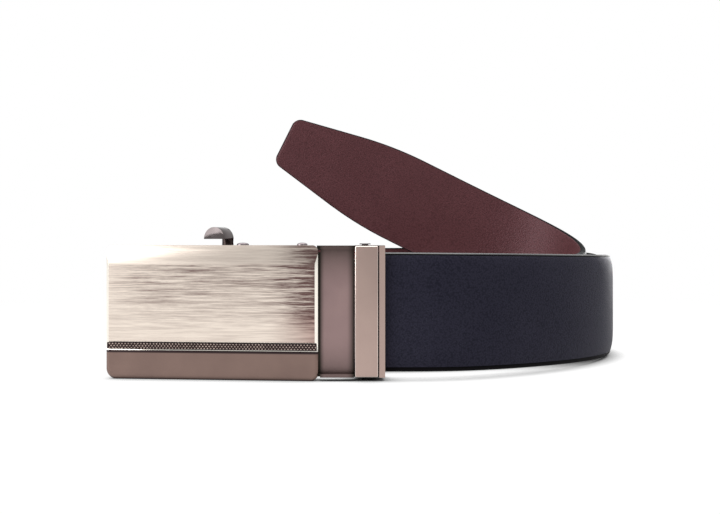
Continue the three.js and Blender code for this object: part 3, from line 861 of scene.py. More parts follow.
@dataclass
class Strap:
    """The leather strap: two leathers glued back to back, painted on the edge and loosely coiled.

    The coil is a closed curve, moved inwards by a layer for each turn, whose axis tips over at the
    end so that the free end climbs.
    """

    width: float = 35.0
    thickness: float = 3.2
    clamped_length: float = 7.0
    clamp_lift: float = 2.4
    coil_width: float = 153.5
    coil_depth: float = 128.0
    coil_left: float = -61.0
    coil_turns: float = 2.53
    layer_pitch: float = 4.1
    buckle_room: float = 18.0
    back_lift: float = 2.4
    axis_tilt: float = 13.3
    lean_room: float = 3.4
    tilt_from: float = 2.15
    tilt_to: float = 2.38
    tail_length: float = 67.5
    taper_length: float = 40.5
    taper_blend: float = 0.34
    tip_width: float = 20.0
    tip_radius: float = 3.0
    tip_round: float = 1.7
    tip_thinning: float = 0.55
    painted_tip: float = 0.35
    clamp_end: float = 5.6
    clamped_inset: float = 0.2
    # The most of half the width that one edge takes up
    edge_share: float = 0.6
    steps_per_turn: int = 240
    turn_step: float = 0.001
    corner_steps: int = 12
    # Where the tail is cut into steps, as shares of its straight length and of its taper
    straight_shares: Sequence[float] = (0.15, 0.35)
    taper_shares: Sequence[float] = (
        -0.3, -0.22, -0.14, -0.06, 0.02, 0.1, 0.18, 0.26, 0.35, 0.5, 0.65, 0.8)
    # Across and back, as shares of the coil's width and depth
    outline: Sequence[tuple[float, float]] = (
        (0.27, 0), (0.43, 0), (0.58, 0), (0.74, 0.11), (0.885, 0.26), (0.995, 0.475), (0.995, 0.735),
        (0.865, 0.945), (0.64, 1.005), (0.41, 1.005), (0.19, 0.95), (0.03, 0.77), (0.005, 0.515),
        (0.07, 0.19))
    # Layers, room for the buckle and lean
    insets: Sequence[Row] = (
        Row(0, (0, 0, 0)), Row(0.64, (0, 0, 0)), Row(1.05, (0.4, 1, 0)), Row(1.28, (1, 0, 0)),
        Row(1.64, (1, 0, 0)), Row(2.05, (1.4, 1, 0)), Row(2.28, (2, 0, 1)), Row(2.53, (2, 0, 1)))
    # Lift at the clamp and at the back
    lifts: Sequence[Row] = (
        Row(0, (1, 0)), Row(0.42, (0, 0)), Row(1.2, (0, 0)), Row(1.5, (0, 1)), Row(1.92, (0, 0)),
        Row(2.53, (0, 0)))
    # Half of the section from the outer face over the edge to the back: depth from the outer face,
    # distance in from the edge, and the surface that starts there. A crease is pressed in beside the
    # edge, nearer to it at the top than at the bottom, where the rim is turned under.
    upper_edge: Sequence[tuple[float, float, Leather]] = (
        (0.0, 9.0, Leather.FACE), (0.04, 6.6, Leather.FACE), (0.13, 4.8, Leather.FACE),
        (0.3, 3.3, Leather.FACE), (0.52, 2.2, Leather.FACE), (0.78, 1.4, Leather.FACE),
        (1.0, 0.98, Leather.FACE), (1.16, 0.78, Leather.RIM), (1.2, 0.7, Leather.RIM),
        (1.14, 0.6, Leather.RIM), (1.16, 0.46, Leather.EDGE), (1.3, 0.26, Leather.EDGE),
        (1.55, 0.1, Leather.EDGE), (1.85, 0.02, Leather.EDGE), (2.2, 0.0, Leather.EDGE),
        (2.5, 0.04, Leather.RIM), (2.8, 0.14, Leather.RIM), (3.02, 0.3, Leather.RIM),
        (3.13, 0.46, Leather.BACK), (3.18, 0.7, Leather.BACK), (3.2, 1.3, Leather.BACK),
        (3.2, 5.0, Leather.BACK))
    lower_edge: Sequence[tuple[float, float, Leather]] = (
        (0.0, 9.0, Leather.FACE), (0.04, 6.8, Leather.FACE), (0.14, 5.2, Leather.FACE),
        (0.3, 3.9, Leather.FACE), (0.5, 2.9, Leather.FACE), (0.66, 2.2, Leather.FACE),
        (0.84, 1.6, Leather.FACE), (0.94, 1.42, Leather.RIM), (0.98, 1.34, Leather.RIM),
        (0.92, 1.24, Leather.RIM), (0.98, 1.0, Leather.RIM), (1.12, 0.7, Leather.RIM),
        (1.34, 0.4, Leather.RIM), (1.6, 0.18, Leather.RIM), (1.85, 0.06, Leather.RIM),
        (2.1, 0.0, Leather.RIM), (2.35, 0.0, Leather.RIM), (2.6, 0.04, Leather.RIM),
        (2.85, 0.14, Leather.RIM), (3.0, 0.3, Leather.BACK), (3.13, 0.5, Leather.BACK),
        (3.2, 1.3, Leather.BACK), (3.2, 5.0, Leather.BACK))

    def outline_at(self, turn: float) -> Vector:
        """Gives a place on the closed cubic B-spline of one whole turn, on the flat.

        Args:
            turn: how many turns along the coil.

        Returns:
            The place, across and back.
        """
        count = len(self.outline)
        first = math.floor(turn * count)
        u = turn * count - first
        weights = ((1 - u) ** 3 / 6, (3 * u ** 3 - 6 * u ** 2 + 4) / 6,
                   (-3 * u ** 3 + 3 * u ** 2 + 3 * u + 1) / 6, u ** 3 / 6)
        spot = Vector((0.0, 0.0))
        for step, weight in enumerate(weights):
            across, back = self.outline[(first + step) % count]
            spot.x += weight * (self.coil_left + across * self.coil_width)
            spot.y += weight * back * self.coil_depth
        return spot

    def flat_at(self, turn: float) -> Vector:
        """Gives the outer face on the flat, moved inwards by the layers outside it.

        Args:
            turn: how many turns along the coil.

        Returns:
            The place, across and back.
        """
        before, after = self.outline_at(turn - self.turn_step), self.outline_at(turn + self.turn_step)
        ahead = (after - before).normalized()
        layers, room, lean = blend_rows(self.insets, turn)
        inset = layers * self.layer_pitch + room * self.buckle_room + lean * self.lean_room
        return self.outline_at(turn) + Vector((-ahead.y, ahead.x)) * inset

    def heading_at(self, turn: float) -> float:
        """Gives the way that the strap runs on the flat, counted on over whole turns.

        Args:
            turn: how many turns along the coil.

        Returns:
            An angle in radians.
        """
        step = self.flat_at(turn + self.turn_step) - self.flat_at(turn - self.turn_step)
        angle = math.atan2(step.y, step.x)
        return angle + math.floor(turn - angle / (2 * math.pi) + 0.5) * 2 * math.pi

    def tilt_at(self, turn: float) -> float:
        """Gives how far the coil's axis is tipped over, in radians."""
        return math.radians(self.axis_tilt) * ease(turn, self.tilt_from, self.tilt_to)

    @staticmethod
    def frame_at(heading: float, tilt: float) -> tuple[Vector, Vector, Vector]:
        """Gives the strap's three ways for a heading round a tipped axis.

        Args:
            heading: the way that it runs on the flat, in radians.
            tilt: how far the axis is tipped over, in radians.

        Returns:
            The way ahead, the way in and the way up.
        """
        axis = Vector((math.sin(tilt), 0, math.cos(tilt)))
        across = Vector((math.cos(tilt), 0, -math.sin(tilt)))
        back = Vector((0, 1, 0))
        round_way = across * math.cos(heading) + back * math.sin(heading)
        return (round_way * math.cos(tilt) + axis * math.sin(tilt),
                back * math.cos(heading) - across * math.sin(heading),
                axis * math.cos(tilt) - round_way * math.sin(tilt))

    def half_width_at(self, to_tip: float) -> float:
        """Gives half the strap's width, narrowed to the blunt tip.

        Args:
            to_tip: how far the tip still is.

        Returns:
            Half the width, rounded at the tip's corners.
        """
        plain = max(to_tip / self.taper_length, 0.0)
        near = min(max(0.5 + 0.5 * (1 - plain) / self.taper_blend, 0.0), 1.0)
        taper = 1 + (plain - 1) * near - self.taper_blend * near * (1 - near)
        straight = self.tip_width / 2 + (self.width - self.tip_width) / 2 * taper
        short = max(0.0, self.tip_radius - to_tip)
        return straight - self.tip_radius + math.sqrt(self.tip_radius ** 2 - short ** 2)

    def raised(self, turn: float, spot: Vector) -> Vector:
        """Lifts a spot on the floor to mid width, with the lift that the strap has at a turn."""
        clamp, back = blend_rows(self.lifts, turn)
        return spot + Vector((0, 0, clamp * self.clamp_lift + back * self.back_lift + self.width / 2))

    def stations(self) -> list[Station]:
        """Lays the strap out from the clamp to the tip."""
        last = self.flat_at(0)
        place = Vector((last.x, last.y, 0))
        clamped = Vector((self.clamp_end - self.clamped_length, last.y, 0))
        level = self.frame_at(0, 0)
        laid = [Station(0, self.raised(0, spot), *level, self.width / 2) for spot in (clamped, place)]
        for step in range(1, round(self.steps_per_turn * self.coil_turns) + 1):
            turn = step / self.steps_per_turn
            middle = turn - 0.5 / self.steps_per_turn
            spot = self.flat_at(turn)
            ahead = self.frame_at(self.heading_at(middle), self.tilt_at(middle))[0]
            place = place + ahead * (spot - last).length
            last = spot
            ways = self.frame_at(self.heading_at(turn), self.tilt_at(turn))
            laid.append(Station(turn, self.raised(turn, place), *ways, self.width / 2))
        ways = self.frame_at(self.heading_at(self.coil_turns), math.radians(self.axis_tilt))
        straight = self.tail_length - self.taper_length
        alongs = [straight * share for share in self.straight_shares]
        alongs += [straight + self.taper_length * share for share in self.taper_shares]
        angles = [math.pi / 2 * step / self.corner_steps for step in range(self.corner_steps, -1, -1)]
        alongs += [self.tail_length - self.tip_radius * (1 - math.cos(angle)) for angle in angles]
        for along in alongs:
            spot = self.raised(self.coil_turns, place + ways[0] * along)
            half = self.half_width_at(self.tail_length - along)
            laid.append(Station(self.coil_turns, spot, *ways, half))
        return laid

    def section(self) -> list[tuple[float, float, int, Leather]]:
        """Gives the whole section: depth, distance in from the edge, which edge, and the surface."""
        upper = [(depth, inset, 1, side) for depth, inset, side in self.upper_edge]
        turned = list(reversed(self.lower_edge))
        sides = [side for _, _, side in turned[1:]] + [Leather.FACE]
        return upper + [(depth, inset, -1, side) for (depth, inset, _), side in zip(turned, sides)]

    def rounding_at(self, to_tip: float) -> float:
        """Gives how much the tip is thinned on each side, so close to its end."""
        short = max(0.0, 1 - to_tip / self.tip_round)
        return self.tip_thinning * (1 - math.sqrt(1 - short * short))

    def build(self, place: Matrix, *finishes: bpy.types.Material) -> None:
        """Sweeps the section along the stations and shows the strap.

        Args:
            place: where the belt's own axes are in the scene.
            finishes: its materials, in the order of Leather.
        """
        section = self.section()
        laid = self.stations()
        to_tips = [(laid[-1].place - station.place).length for station in laid]
        outlines = []
        for number, station in enumerate(laid):
            drawn_in = 0.0 if number else self.clamped_inset
            thinned = drawn_in or self.rounding_at(to_tips[number])
            outline = []
            for depth, short, way, _ in section:
                deep = min(max(depth, thinned), self.thickness - thinned)
                high = way * (station.half - min(short, station.half * self.edge_share) - drawn_in)
                outline.append(station.place + station.inward * deep + station.up * high)
            outlines.append(outline)
        strap = Solid.stacked(outlines)
        for number, face in enumerate(strap.mesh.polygons):
            ring, corner = divmod(number, len(section))
            ended = ring + 1 == len(laid) or to_tips[ring + 1] < self.painted_tip
            face.material_index = (Leather.RIM if ended else section[corner][3]).value
        show("strap", strap.finished(place, *finishes), "strap",
             ("strap_outer", "strap_inner"))


@dataclass
class RatchetTrack:
    """The toothed nylon strip that is sewn to the back of the strap."""

    width: float = 8.0
    base: float = 0.6
    tooth_height: float = 0.7
    tooth_fall: float = 0.92
    pitch: float = 6.0
    flank: float = 0.6
    start_turn: float = 1.62
    end_turn: float = 1.94
    gap: float = 0.3

    def line(self, strap: Strap) -> bpy.types.Mesh:
        """Gives the strip's line at the middle of its base.

        Args:
            strap: the strap that carries it.

        Returns:
            A mesh of edges, in millimetres.
        """
        run = [s for s in strap.stations() if self.start_turn <= s.turn <= self.end_turn]
        depth = strap.thickness + self.gap + self.base / 2
        spots = [tuple(station.place + station.inward * depth) for station in run]
        mesh = bpy.data.meshes.new("track_line")
        mesh.from_pydata(spots, [(number, number + 1) for number in range(len(spots) - 1)], [])
        return mesh

    def build(self, place: Matrix, strap: Strap, finish: bpy.types.Material) -> None:
        """Grows the base and one wedge for each tooth along the line.

        Args:
            place: where the belt's own axes are in the scene.
            strap: the strap that carries it.
            finish: its material.
        """
        growth = Growth("ratchet_track_growth", {
            "Pitch": self.pitch, "Width": self.width, "Base": self.base,
            "Tooth Height": self.tooth_height, "Flank": self.flank})
        tree, given = growth.tree, growth.given
        curve = add_node(tree, "GeometryNodeMeshToCurve", {"Mesh": given["Geometry"]}).outputs["Curve"]
        upright = add_node(tree, "GeometryNodeSetCurveNormal", {"Curve": curve},
                           mode="Z_UP").outputs["Curve"]
        profile = add_node(tree, "GeometryNodeCurvePrimitiveQuadrilateral", {
            "Width": given["Base"], "Height": given["Width"]}, mode="RECTANGLE")
        base = add_node(tree, "GeometryNodeCurveToMesh", {
            "Curve": upright, "Profile Curve": profile.outputs["Curve"], "Fill Caps": True})
        spots = add_node(tree, "GeometryNodeResampleCurve", {
            "Curve": upright, "Length": given["Pitch"]}, mode="LENGTH")
        length = add_node(tree, "ShaderNodeMath", {
            0: given["Pitch"], 1: given["Flank"]}, operation="SUBTRACT").outputs[0]
        size = add_node(tree, "ShaderNodeCombineXYZ", {
            "X": length, "Y": given["Tooth Height"], "Z": given["Width"]})
        tooth = add_node(tree, "GeometryNodeMeshCube", {"Size": size.outputs["Vector"]})
        # Each tooth falls away to its back end, whose raised corners are pushed down
        spot = add_node(tree, "ShaderNodeSeparateXYZ", {
            "Vector": add_node(tree, "GeometryNodeInputPosition").outputs["Position"]}).outputs
        inside = add_node(tree, "ShaderNodeMath", {0: spot["Y"], 1: 0.0}, operation="GREATER_THAN")
        behind = add_node(tree, "ShaderNodeMath", {0: spot["X"], 1: 0.0}, operation="LESS_THAN")
        pushed = add_node(tree, "ShaderNodeMath", {
            0: inside.outputs[0], 1: behind.outputs[0]}, operation="MULTIPLY").outputs[0]
        fall = add_node(tree, "ShaderNodeMath", {
            0: given["Tooth Height"], 1: -self.tooth_fall}, operation="MULTIPLY").outputs[0]
        thick = add_node(tree, "ShaderNodeMath", {
            0: given["Base"], 1: given["Tooth Height"]}, operation="ADD").outputs[0]
        proud = add_node(tree, "ShaderNodeMath", {0: thick, 1: 0.5}, operation="MULTIPLY").outputs[0]
        lift = add_node(tree, "ShaderNodeMath", {
            0: pushed, 1: fall, 2: proud}, operation="MULTIPLY_ADD").outputs[0]
        wedge = add_node(tree, "GeometryNodeSetPosition", {
            "Geometry": tooth.outputs["Mesh"],
            "Offset": add_node(tree, "ShaderNodeCombineXYZ", {"Y": lift}).outputs["Vector"]})
        way = add_node(tree, "FunctionNodeAlignRotationToVector", {
            "Vector": add_node(tree, "GeometryNodeInputTangent").outputs["Tangent"]},
            axis="X", pivot_axis="Z")
        teeth = add_node(tree, "GeometryNodeInstanceOnPoints", {
            "Points": spots.outputs["Curve"], "Instance": wedge.outputs["Geometry"],
            "Rotation": way.outputs["Rotation"]})
        mesh = growth.grown(self.line(strap), (base.outputs["Mesh"], teeth.outputs["Instances"]), finish)
        mesh.transform(Matrix.Scale(MM, 4))
        mesh.transform(place)
        show("track", mesh, "strap", ("ratchet_track",))


def is_rubbed(normal: Vector, forward: float) -> bool:
    """Tells whether a face lies on a rounded edge to the front, where handling rubs the plating."""
    return normal.y < -forward and max(abs(normal.x), abs(normal.z)) > 0.2


@dataclass
class NeckClamp:
    """The neck between the hinge and the strap, with its clamp band, jaw and jaw pin."""

    gap: float = 0.3
    height: float = 38.3
    lift: float = 1.1
    wall: float = 1.0
    left: float = -11.6
    tuck: float = 1.0
    tuck_front: float = 0.75
    front: float = -1.6
    web_front: float = 2.2
    web_thickness: float = 1.2
    band_left: float = -1.5
    band_width: float = 6.8
    band_thickness: float = 1.6
    band_height: float = 38.1
    loop_width: float = 1.7
    loop_wall: float = 1.2
    strap_thickness: float = 3.2
    jaw_x: float = 1.5
    jaw_hub: float = 1.8
    jaw_tooth: float = 1.3
    jaw_arm: float = 8.0
    jaw_arm_thickness: float = 1.2
    jaw_arm_inset: float = 3.0
    pin_radius: float = 1.0
    pin_head: float = 1.7
    pin_crown: float = 0.3
    pin_chamfer: float = 0.2
    neck_soft: float = 0.25
    band_soft: float = 0.42
    jaw_soft: float = 0.12
    hinge_x: float = -17.0
    hinge_y: float = 2.8
    hinge_radius: float = 1.1
    ear_radius: float = 2.0
    ear_thickness: float = 1.0
    ear_low: float = 2.05
    ear_high: float = 37.45
    # How far a face's centre may lie before a limit and still count as past it
    face_slack: float = 0.05

    @property
    def top(self) -> float:
        """Height of the upper flange's top."""
        return self.lift + self.height

    @property
    def jaw_y(self) -> float:
        """Depth of the jaw's pin."""
        return self.strap_thickness + self.gap + self.jaw_tooth + self.jaw_hub

    def channel(self) -> Solid:
        """Builds the two flanges, the web, the end loop and the hinge ears."""
        right = self.band_left - self.gap
        loop_left = self.band_left + self.band_width + self.gap
        loop_right = loop_left + self.loop_width
        web_back = self.web_front + self.web_thickness
        back = self.jaw_y + self.jaw_hub + self.gap
        outline = [(self.left, self.front), (right, self.front),
                   (right, self.front + self.band_thickness), (loop_left, self.front + self.band_thickness),
                   (loop_left, self.front), (loop_right, self.front), (loop_right, back),
                   (right, back), (right, web_back), (self.left - self.tuck, web_back),
                   (self.left - self.tuck, self.tuck_front), (self.left, self.tuck_front)]
        low, high = self.lift + self.wall / 2, self.top - self.wall / 2
        ears = [(bottom, bottom + self.ear_thickness) for bottom in (
            self.ear_low, self.ear_high - self.ear_thickness)]
        loop_back = self.strap_thickness + self.gap
        web_left = self.hinge_x + self.hinge_radius + 2 * self.gap + self.wall / 2
        parts = [
            Solid.slab(outline, self.top - self.wall, self.top),
            Solid.block(web_left, right, self.web_front, web_back, self.ear_low, self.ear_high),
            Solid.block(self.left, right, self.web_front, web_back, low, high),
            Solid.block(loop_left, loop_right, self.front, self.front + self.loop_wall, low, high),
            Solid.block(loop_left, loop_right, loop_back, loop_back + self.loop_wall, low, high)]
        for ear in ears:
            parts.append(Solid.rod(self.hinge_x, self.hinge_y, self.ear_radius, *ear))
            parts.append(Solid.slab([
                (self.hinge_x, self.hinge_y - self.ear_radius), (web_left + self.wall, self.web_front),
                (web_left + self.wall, web_back), (self.hinge_x, self.hinge_y + self.ear_radius)], *ear))
        whole = Solid.slab(outline, self.lift, self.lift + self.wall).joined(*parts)
        return whole.cut(
            Solid.rod(self.hinge_x, self.hinge_y, self.hinge_radius + self.gap, 0, self.top + 1),
            Solid.rod(self.jaw_x, self.jaw_y, self.pin_radius + self.gap, 0, self.top + 1))

    def band(self) -> Solid:
        """Builds the band across the front."""
        bottom = self.lift + (self.height - self.band_height) / 2
        front = self.front - self.gap
        return Solid.block(self.band_left, self.band_left + self.band_width, front,
                           front + self.band_thickness, bottom, bottom + self.band_height)

    def jaw(self) -> Solid:
        """Builds the toothed jaw with its lever arm."""
        bottom = self.lift + self.wall + self.gap
        top = self.top - self.wall - self.gap
        nose = self.strap_thickness + self.gap
        biting = [(self.jaw_x, self.jaw_y), (self.jaw_x - self.jaw_hub, self.jaw_y)]
        for step in range(5):
            depth = nose if step % 2 else nose + self.jaw_tooth / 2
            biting.append((self.jaw_x - self.jaw_hub * (1 - step / 4), depth))
        arm_back = self.jaw_y + self.jaw_hub
        arm = Solid.block(self.jaw_x - self.jaw_arm, self.jaw_x, arm_back - self.jaw_arm_thickness,
                          arm_back, bottom + self.jaw_arm_inset, top - self.jaw_arm_inset)
        whole = Solid.rod(self.jaw_x, self.jaw_y, self.jaw_hub, bottom, top)
        whole = whole.joined(Solid.slab(biting, bottom, top), arm)
        return whole.cut(Solid.rod(self.jaw_x, self.jaw_y, self.pin_radius + self.gap, bottom - 1, top + 1))

    def pin(self) -> Solid:
        """Builds the jaw's pin with its low round head."""
        foot = self.top + self.gap
        rim = [(self.pin_head - short, foot + self.pin_crown - low)
               for short, low in ((0.0, 0.15), (0.12, 0.04), (0.4, 0.0))]
        return Solid.lathe(self.jaw_x, self.jaw_y, [
            (self.pin_radius - self.pin_chamfer, self.lift),
            (self.pin_radius, self.lift + self.pin_chamfer), (self.pin_radius, foot),
            (self.pin_head, foot), *rim])

    def zoned_channel(self, solid: Solid) -> Solid:
        """Numbers the channel's faces: plating with painted shade in its corners, the paler loop, and its
        rubbed edges.

        Args:
            solid: the channel, softened.

        Returns:
            The same solid.
        """
        loop = self.band_left + self.band_width + self.gap - self.face_slack
        for face in solid.mesh.polygons:
            zone = NeckZone.PAINTED_SHADE
            if face.center.x >= loop:
                zone = NeckZone.RUBBED if is_rubbed(face.normal, 0.2) else NeckZone.LOOP
            face.material_index = zone.value
        return solid

    def zoned_band(self, solid: Solid) -> Solid:
        """Numbers the band's faces: its rounded edges are rubbed bright.

        Args:
            solid: the band, softened.

        Returns:
            The same solid.
        """
        for face in solid.mesh.polygons:
            face.material_index = (BandZone.RUBBED if is_rubbed(face.normal, 0.1) else BandZone.SATIN).value
        return solid

    def build(self, place: Matrix, shaded_neck_plating: bpy.types.Material, mauve: bpy.types.Material,
              rubbed: bpy.types.Material, dark: bpy.types.Material) -> None:
        """Shows the four pieces.

        Args:
            place: where the belt's own axes are in the scene.
            shaded_neck_plating: the neck's plating, with painted shade at the web's ends, top and foot.
            mauve: the plating of the band and the loop.
            rubbed: the same plating on worn edges.
            dark: the plating of the jaw and its pin.
        """
        neck = self.zoned_channel(self.channel().softened(self.neck_soft))
        band = self.zoned_band(self.band().softened(self.band_soft, steps=4))
        jaw = self.jaw().softened(self.jaw_soft)
        show("neck", neck.finished(place, shaded_neck_plating, mauve, rubbed), "strap",
             ("neck_channel",))
        show("band", band.finished(place, mauve, rubbed), "strap", ("clamp_band",))
        show("jaw", jaw.finished(place, dark), "jaw", ("clamp_jaw",))
        show("jaw_rivet", self.pin().finished(place, dark), "strap", ("jaw_pin",))


@dataclass
class Buckle:
    """The buckle: face plate, knurled strip, frame, pins, release lever and pawl.

    Its own axes start at the hinge, on the surface that the belt stands on.
    """

    gap: float = 0.3
    length: float = 63.2
    height: float = 39.5
    thickness: float = 1.8
    corner: float = 1.8
    corner_low: float = 2.2
    corner_far: float = 3.0
    bevel_height: float = 5.5
    bevel_fall: float = 1.1
    soft_edge: float = 0.6
    end_chamfer: float = 0.85
    edge_chamfer: float = 0.1
    chamfer_depth: float = 0.6
    cut_margin: float = 0.5
    plate_soft: float = 0.12
    cage_soft: float = 0.15
    knob_soft: float = 0.45
    pawl_soft: float = 0.12
    face_relief: float = 0.3
    lower_band: float = 8.0
    lip: float = 0.5
    knurl_height: float = 2.0
    knurl_depth: float = 0.4
    # Rolled at about 0.7 mm on the real strip, and drawn coarser so that the points show
    knurl_pitch: float = 0.96
    frame_height: float = 38.0
    frame_wall: float = 1.0
    frame_inset: float = 1.5
    frame_nose: float = 2.8
    bar_width: float = 3.0
    bar_thickness: float = 1.6
    hinge_from_end: float = 5.1
    hinge_depth: float = 4.2
    hinge_radius: float = 1.1
    hinge_head: float = 1.55
    guide_from_hinge: float = 17.8
    guide_offset: float = 0.2
    guide_radius: float = 1.0
    guide_head: float = 1.8
    head_height: float = 1.2
    shaft_from_hinge: float = 24.3
    shaft_depth: float = 8.9
    shaft_radius: float = 1.0
    collar_radius: float = 1.75
    knob_lift: float = 1.8
    knob_radius: float = 3.6
    knob_thickness: float = 5.4
    knob_turn: float = 18.5
    knob_across: float = 1.7
    knob_along: float = 2.4
    pawl_hub: float = 2.0
    pawl_reach: float = 9.5
    pawl_width: float = 30.0
    pawl_tooth: float = 0.6
    pin_chamfer: float = 0.2
    pin_dome: float = 0.55
    # How far the buckle is swung out from the neck's own line, in degrees
    turn: float = 5.5
    foot_steps: int = 6
    corner_steps: int = 12
    # The spacing of the rows of points, and the room at the ends and beside them, in pitches
    knurl_row: float = 0.62
    knurl_ends: float = 1.6
    knurl_sides: float = 0.8
    # A point's blunt top, and its height as a share of the strip's depth
    point_radius: float = 0.2
    point_share: float = 0.68

    @property
    def right(self) -> float:
        """The plate's hinge end."""
        return self.hinge_from_end

    @property
    def left(self) -> float:
        """The plate's far end."""
        return self.hinge_from_end - self.length

    @property
    def front(self) -> float:
        """The plate's foremost face."""
        return -self.hinge_depth

    @property
    def back(self) -> float:
        """The plate's back face."""
        return self.front + self.thickness

    @property
    def knurl_low(self) -> float:
        """The lower edge of the recess for the knurled strip."""
        return self.lower_band + self.lip

    @property
    def knurl_top(self) -> float:
        """The upper edge of the recess for the knurled strip."""
        return self.knurl_low + self.knurl_height + 2 * self.gap

    @property
    def frame_low(self) -> float:
        """The lower side of the frame."""
        return (self.height - self.frame_height) / 2

    @property
    def frame_top(self) -> float:
        """The upper side of the frame."""
        return self.frame_low + self.frame_height

    def plate(self) -> Solid:
        """Builds the plate from its profile, cut to a rounded outline."""
        face = self.front + self.face_relief
        floor = face + self.knurl_depth + self.gap
        foot = [(face + self.soft_edge * (1 - step / self.foot_steps) ** 2,
                 2 * self.soft_edge * (step / self.foot_steps) ** 2)
                for step in range(self.foot_steps + 1)]
        profile = [(self.back, 0.0), *foot, (face, self.lower_band), (self.front, self.lower_band),
                   (self.front, self.knurl_low), (floor, self.knurl_low), (floor, self.knurl_top),
                   (face, self.knurl_top), (face, self.height - self.bevel_height),
                   (face + self.bevel_fall, self.height), (self.back, self.height)]
        turned = Matrix(((0, 0, 1, 0), (1, 0, 0, 0), (0, 1, 0, 0), (0, 0, 0, 1)))
        bar = Solid.slab(profile, self.left, self.right).moved(turned)
        rim = (self.end_chamfer, self.edge_chamfer)
        layers = [(self.front - self.cut_margin, *rim), (face, *rim), (face + self.chamfer_depth, 0.0, 0.0),
                  (self.back + self.cut_margin, 0.0, 0.0)]
        outlines = [[(x, depth, z) for x, z in self.rounded(short_x, short_z)]
                    for depth, short_x, short_z in layers]
        return bar.kept(Solid.stacked(outlines)).softened(self.plate_soft, steps=2, degrees=8.0)

    def rounded(self, short_x: float, short_z: float) -> list[tuple[float, float]]:
        """Gives the plate's rounded outline, drawn in by an amount on each axis.

        Args:
            short_x: how far it is drawn in at each end.
            short_z: how far it is drawn in at the top and the foot.

        Returns:
            The outline, across and up.
        """
        middle_x, middle_z = (self.left + self.right) / 2, self.height / 2
        outline = []
        quarters = [(1, -1, self.corner_low), (1, 1, self.corner), (-1, 1, self.corner),
                    (-1, -1, self.corner_far)]
        for quarter, (way_x, way_z, radius) in enumerate(quarters):
            corner_x = middle_x + way_x * (self.length / 2 - radius - short_x)
            corner_z = middle_z + way_z * (self.height / 2 - radius - short_z)
            for step in range(self.corner_steps + 1):
                angle = math.pi / 2 * (quarter - 1 + step / self.corner_steps)
                outline.append((corner_x + radius * math.cos(angle), corner_z + radius * math.sin(angle)))
        return outline

    def zone_of(self, spot: Vector, normal: Vector) -> PlateZone:
        """Tells which zone of the plate a face belongs to.

        Args:
            spot: its middle, in millimetres.
            normal: the way that it looks.

        Returns:
            The zone.
        """
        if spot.z < self.knurl_low + 0.05 or normal.y > -0.05:
            return PlateZone.LOWER_BAND
        if abs(normal.x) > 0.2 or spot.z < self.knurl_top + 0.12:
            return PlateZone.POLISHED
        return PlateZone.BRUSHED

    def zoned(self, solid: Solid) -> Solid:
        """Numbers the plate's faces by their zone.

        Args:
            solid: the plate, softened.

        Returns:
            The same solid.
        """
        for face in solid.mesh.polygons:
            face.material_index = self.zone_of(face.center, face.normal).value
        return solid

    def knurl(self, place: Matrix, finish: bpy.types.Material) -> bpy.types.Mesh:
        """Grows the strip: a thin bar with rows of small four sided points, set in a diamond pattern.

        Args:
            place: where the buckle's own axes are in the scene.
            finish: its material.

        Returns:
            The mesh, in metres.
        """
        growth = Growth("knurl_growth", {
            "Length": self.length - 2 * self.gap, "Height": self.knurl_height,
            "Pitch": self.knurl_pitch, "Depth": self.knurl_depth})
        tree, given = growth.tree, growth.given
        row, ends, sides, base, point, bar_depth = [add_node(tree, "ShaderNodeMath", {
            0: size, 1: share}, operation="MULTIPLY").outputs[0] for size, share in (
                (given["Pitch"], self.knurl_row), (given["Pitch"], self.knurl_ends),
                (given["Pitch"], self.knurl_sides), (given["Pitch"], 0.5),
                (given["Depth"], self.point_share), (given["Depth"], 0.5))]
        columns, rows = [add_node(tree, "ShaderNodeMath", {
            0: add_node(tree, "ShaderNodeMath", {0: size, 1: step}, operation="DIVIDE").outputs[0]},
            operation="ROUND").outputs[0] for size, step in (
                (given["Length"], given["Pitch"]), (given["Height"], row))]
        wide, high = [add_node(tree, "ShaderNodeMath", {
            0: size, 1: room}, operation="SUBTRACT").outputs[0] for size, room in (
                (given["Length"], ends), (given["Height"], sides))]
        grid = add_node(tree, "GeometryNodeMeshGrid", {
            "Size X": wide, "Size Y": high, "Vertices X": columns, "Vertices Y": rows})
        # Every other row is moved along by half a pitch
        number = add_node(tree, "GeometryNodeInputIndex").outputs["Index"]
        for divisor in (rows, 2.0):
            number = add_node(tree, "ShaderNodeMath", {
                0: number, 1: divisor}, operation="MODULO").outputs[0]
        shift = add_node(tree, "ShaderNodeMath", {0: number, 1: base}, operation="MULTIPLY").outputs[0]
        woven = add_node(tree, "GeometryNodeSetPosition", {
            "Geometry": grid.outputs["Mesh"],
            "Offset": add_node(tree, "ShaderNodeCombineXYZ", {"X": shift}).outputs["Vector"]})
        cone = add_node(tree, "GeometryNodeMeshCone", {
            "Vertices": 4, "Radius Top": self.point_radius, "Radius Bottom": base, "Depth": point},
            fill_type="NGON")
        points = add_node(tree, "GeometryNodeInstanceOnPoints", {
            "Points": woven.outputs["Geometry"], "Instance": cone.outputs["Mesh"]})
        size = add_node(tree, "ShaderNodeCombineXYZ", {
            "X": given["Length"], "Y": given["Height"], "Z": bar_depth})
        bar = add_node(tree, "GeometryNodeMeshCube", {"Size": size.outputs["Vector"]})
        seed = bpy.data.meshes.new("knurl_seed")
        seed.from_pydata([(0, 0, 0)], [], [])
        mesh = growth.grown(seed, (bar.outputs["Mesh"], points.outputs["Instances"]), finish)
        # Laid flat with the points up, the strip is stood up with its points to the front
        mesh.transform(Matrix.Rotation(math.pi / 2, 4, "X"))
        front = self.front + self.face_relief
        mesh.transform(Matrix.Translation((
            (self.left + self.right) / 2, front + self.knurl_depth * 0.75,
            (self.knurl_low + self.knurl_top) / 2)))
        mesh.transform(Matrix.Scale(MM, 4))
        mesh.transform(place)
        return mesh

